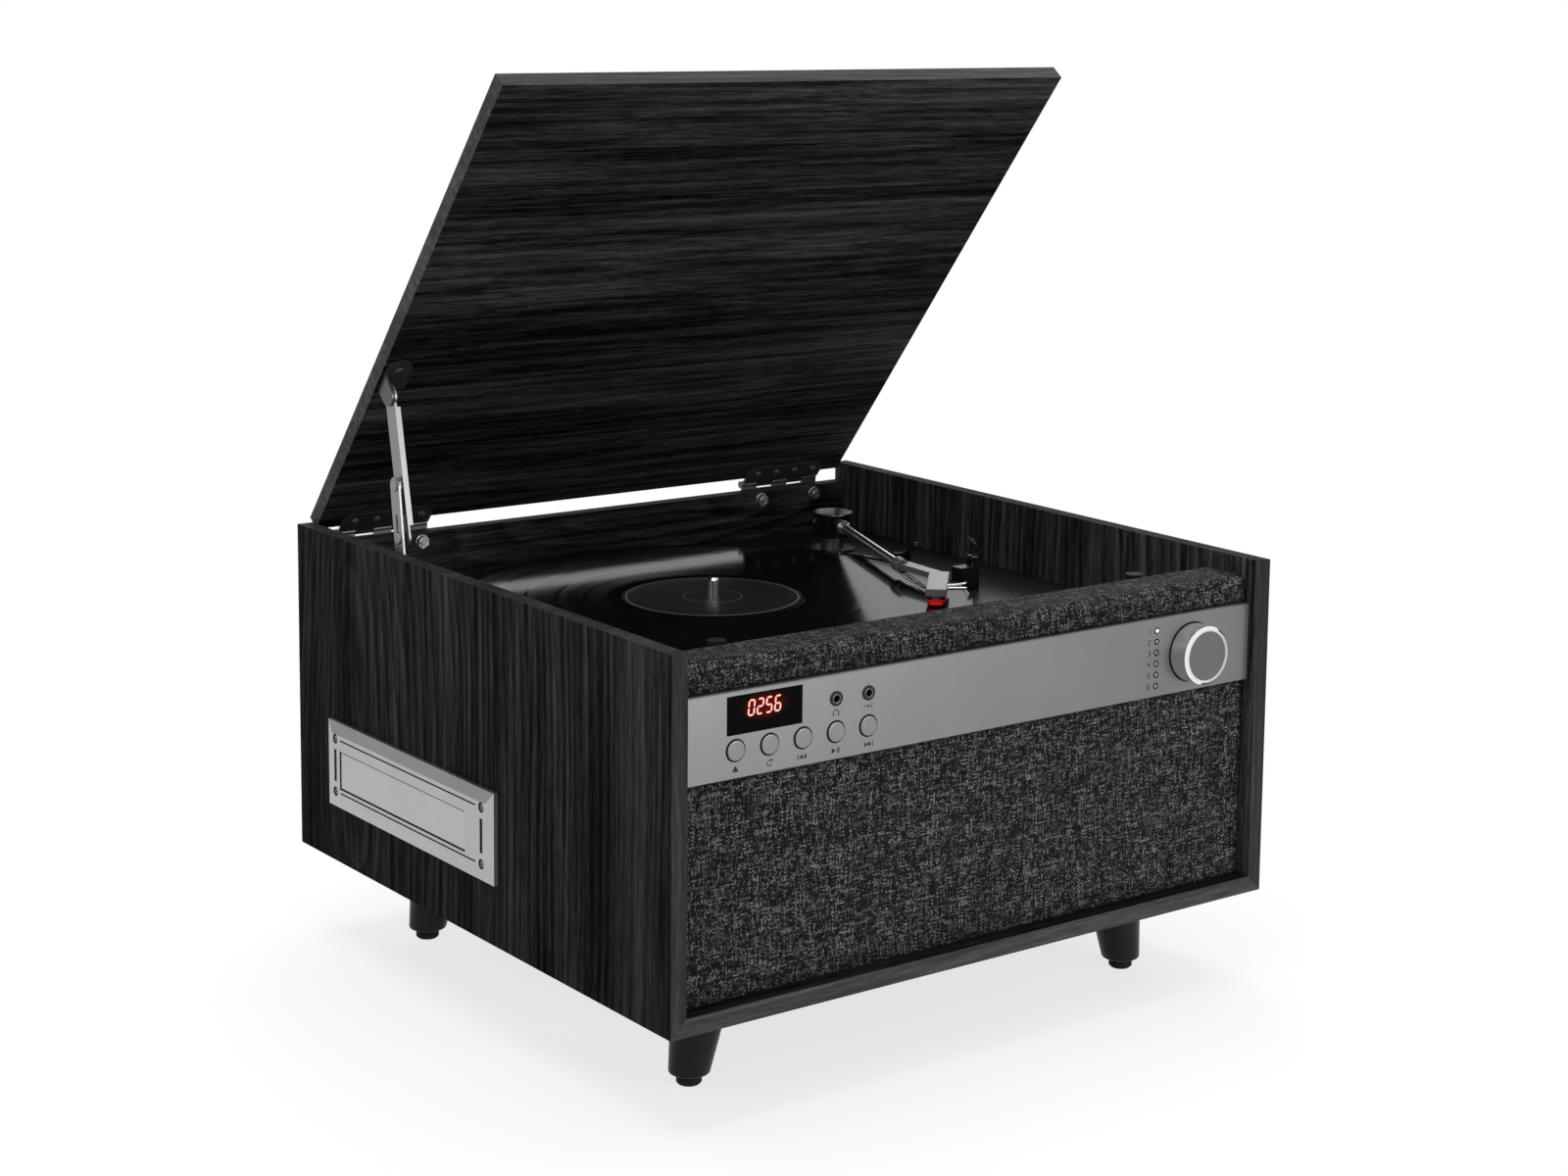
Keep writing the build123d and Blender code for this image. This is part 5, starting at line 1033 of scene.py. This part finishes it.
def floorMaterial():
    tree, shader = newMaterial("paleFloor", Roughness=0.8, Specular_IOR_Level=0.2)
    coords = addNode(tree, "ShaderNodeTexCoord").outputs["Object"]
    tone = mixColor(tree, noise(tree, coords, 3.0), (0.90, 0.90, 0.90, 1), (0.93, 0.93, 0.93, 1))
    setInput(tree, shader, "Base Color", tone)
    fade = mapRange(tree, distance(tree, coords), ground["near"], ground["far"], ground["white"], 1.0, "SMOOTHSTEP")
    fade = times(tree, fade, shownRays(tree))
    white = addNode(tree, "ShaderNodeEmission", {"Color": (1, 1, 1, 1), "Strength": 1.0})
    blend = addNode(tree, "ShaderNodeMixShader", {0: fade, 1: shader.outputs[0], 2: white.outputs[0]})
    tree.links.new(blend.outputs[0], tree.nodes["Material Output"].inputs["Surface"])


floorMaterial()
half = ground["half"]
corners = [(-half, -half, 0), (half, -half, 0), (half, half, 0), (-half, half, 0)]
floor = meshPiece("floor", corners, [(0, 1, 2, 3)], "paleFloor", None)

world = bpy.data.worlds.new("studioWorld")
bpy.context.scene.world = world
world.use_nodes = True
tree = world.node_tree
sky = addNode(tree, "ShaderNodeMix", {0: shownRays(tree), 2: skyLight, 3: skyShown}, data_type="FLOAT")
setInput(tree, tree.nodes["Background"], "Strength", sky.outputs[0])
setInput(tree, tree.nodes["Background"], "Color", (1, 1, 1, 1))

for name, (spot, target, width, height, power) in lights.items():
    data = bpy.data.lights.new(name, "AREA")
    data.shape = "RECTANGLE"
    data.size, data.size_y, data.energy = width, height, power
    box = newObject(name, data)
    box.location = spot
    box.rotation_euler = (Vector(target) - Vector(spot)).to_track_quat("-Z", "Y").to_euler()

# camera, from the cabinet's corners in the photograph

shot = {"place": (-0.9510, -1.3084, 0.5731), "turn": 0.65339, "dip": 0.13931, "roll": 0.01281, "lens": 64.99,
        "shift": (-0.0404, -0.1357)}
az, el, roll = shot["turn"], shot["dip"], shot["roll"]
ahead = Vector((sin(az) * cos(el), cos(az) * cos(el), -sin(el)))
right = Vector((cos(az), -sin(az), 0))
up = right.cross(ahead)
right2 = right * cos(roll) + up * sin(roll)
up2 = up * cos(roll) - right * sin(roll)
cameraData = bpy.data.cameras.new("camera")
cameraData.lens = shot["lens"]
cameraData.sensor_width = 36.0
cameraData.shift_x, cameraData.shift_y = shot["shift"]
cameraData.clip_end = 100.0
camera = newObject("camera", cameraData)
turn = Matrix((right2, up2, -ahead)).transposed().to_4x4()
camera.matrix_world = Matrix.Translation(shot["place"]) @ turn
bpy.context.scene.camera = camera
bpy.context.scene.view_settings.view_transform = "Standard"

bpy.context.view_layer.update()
print("scene ready")
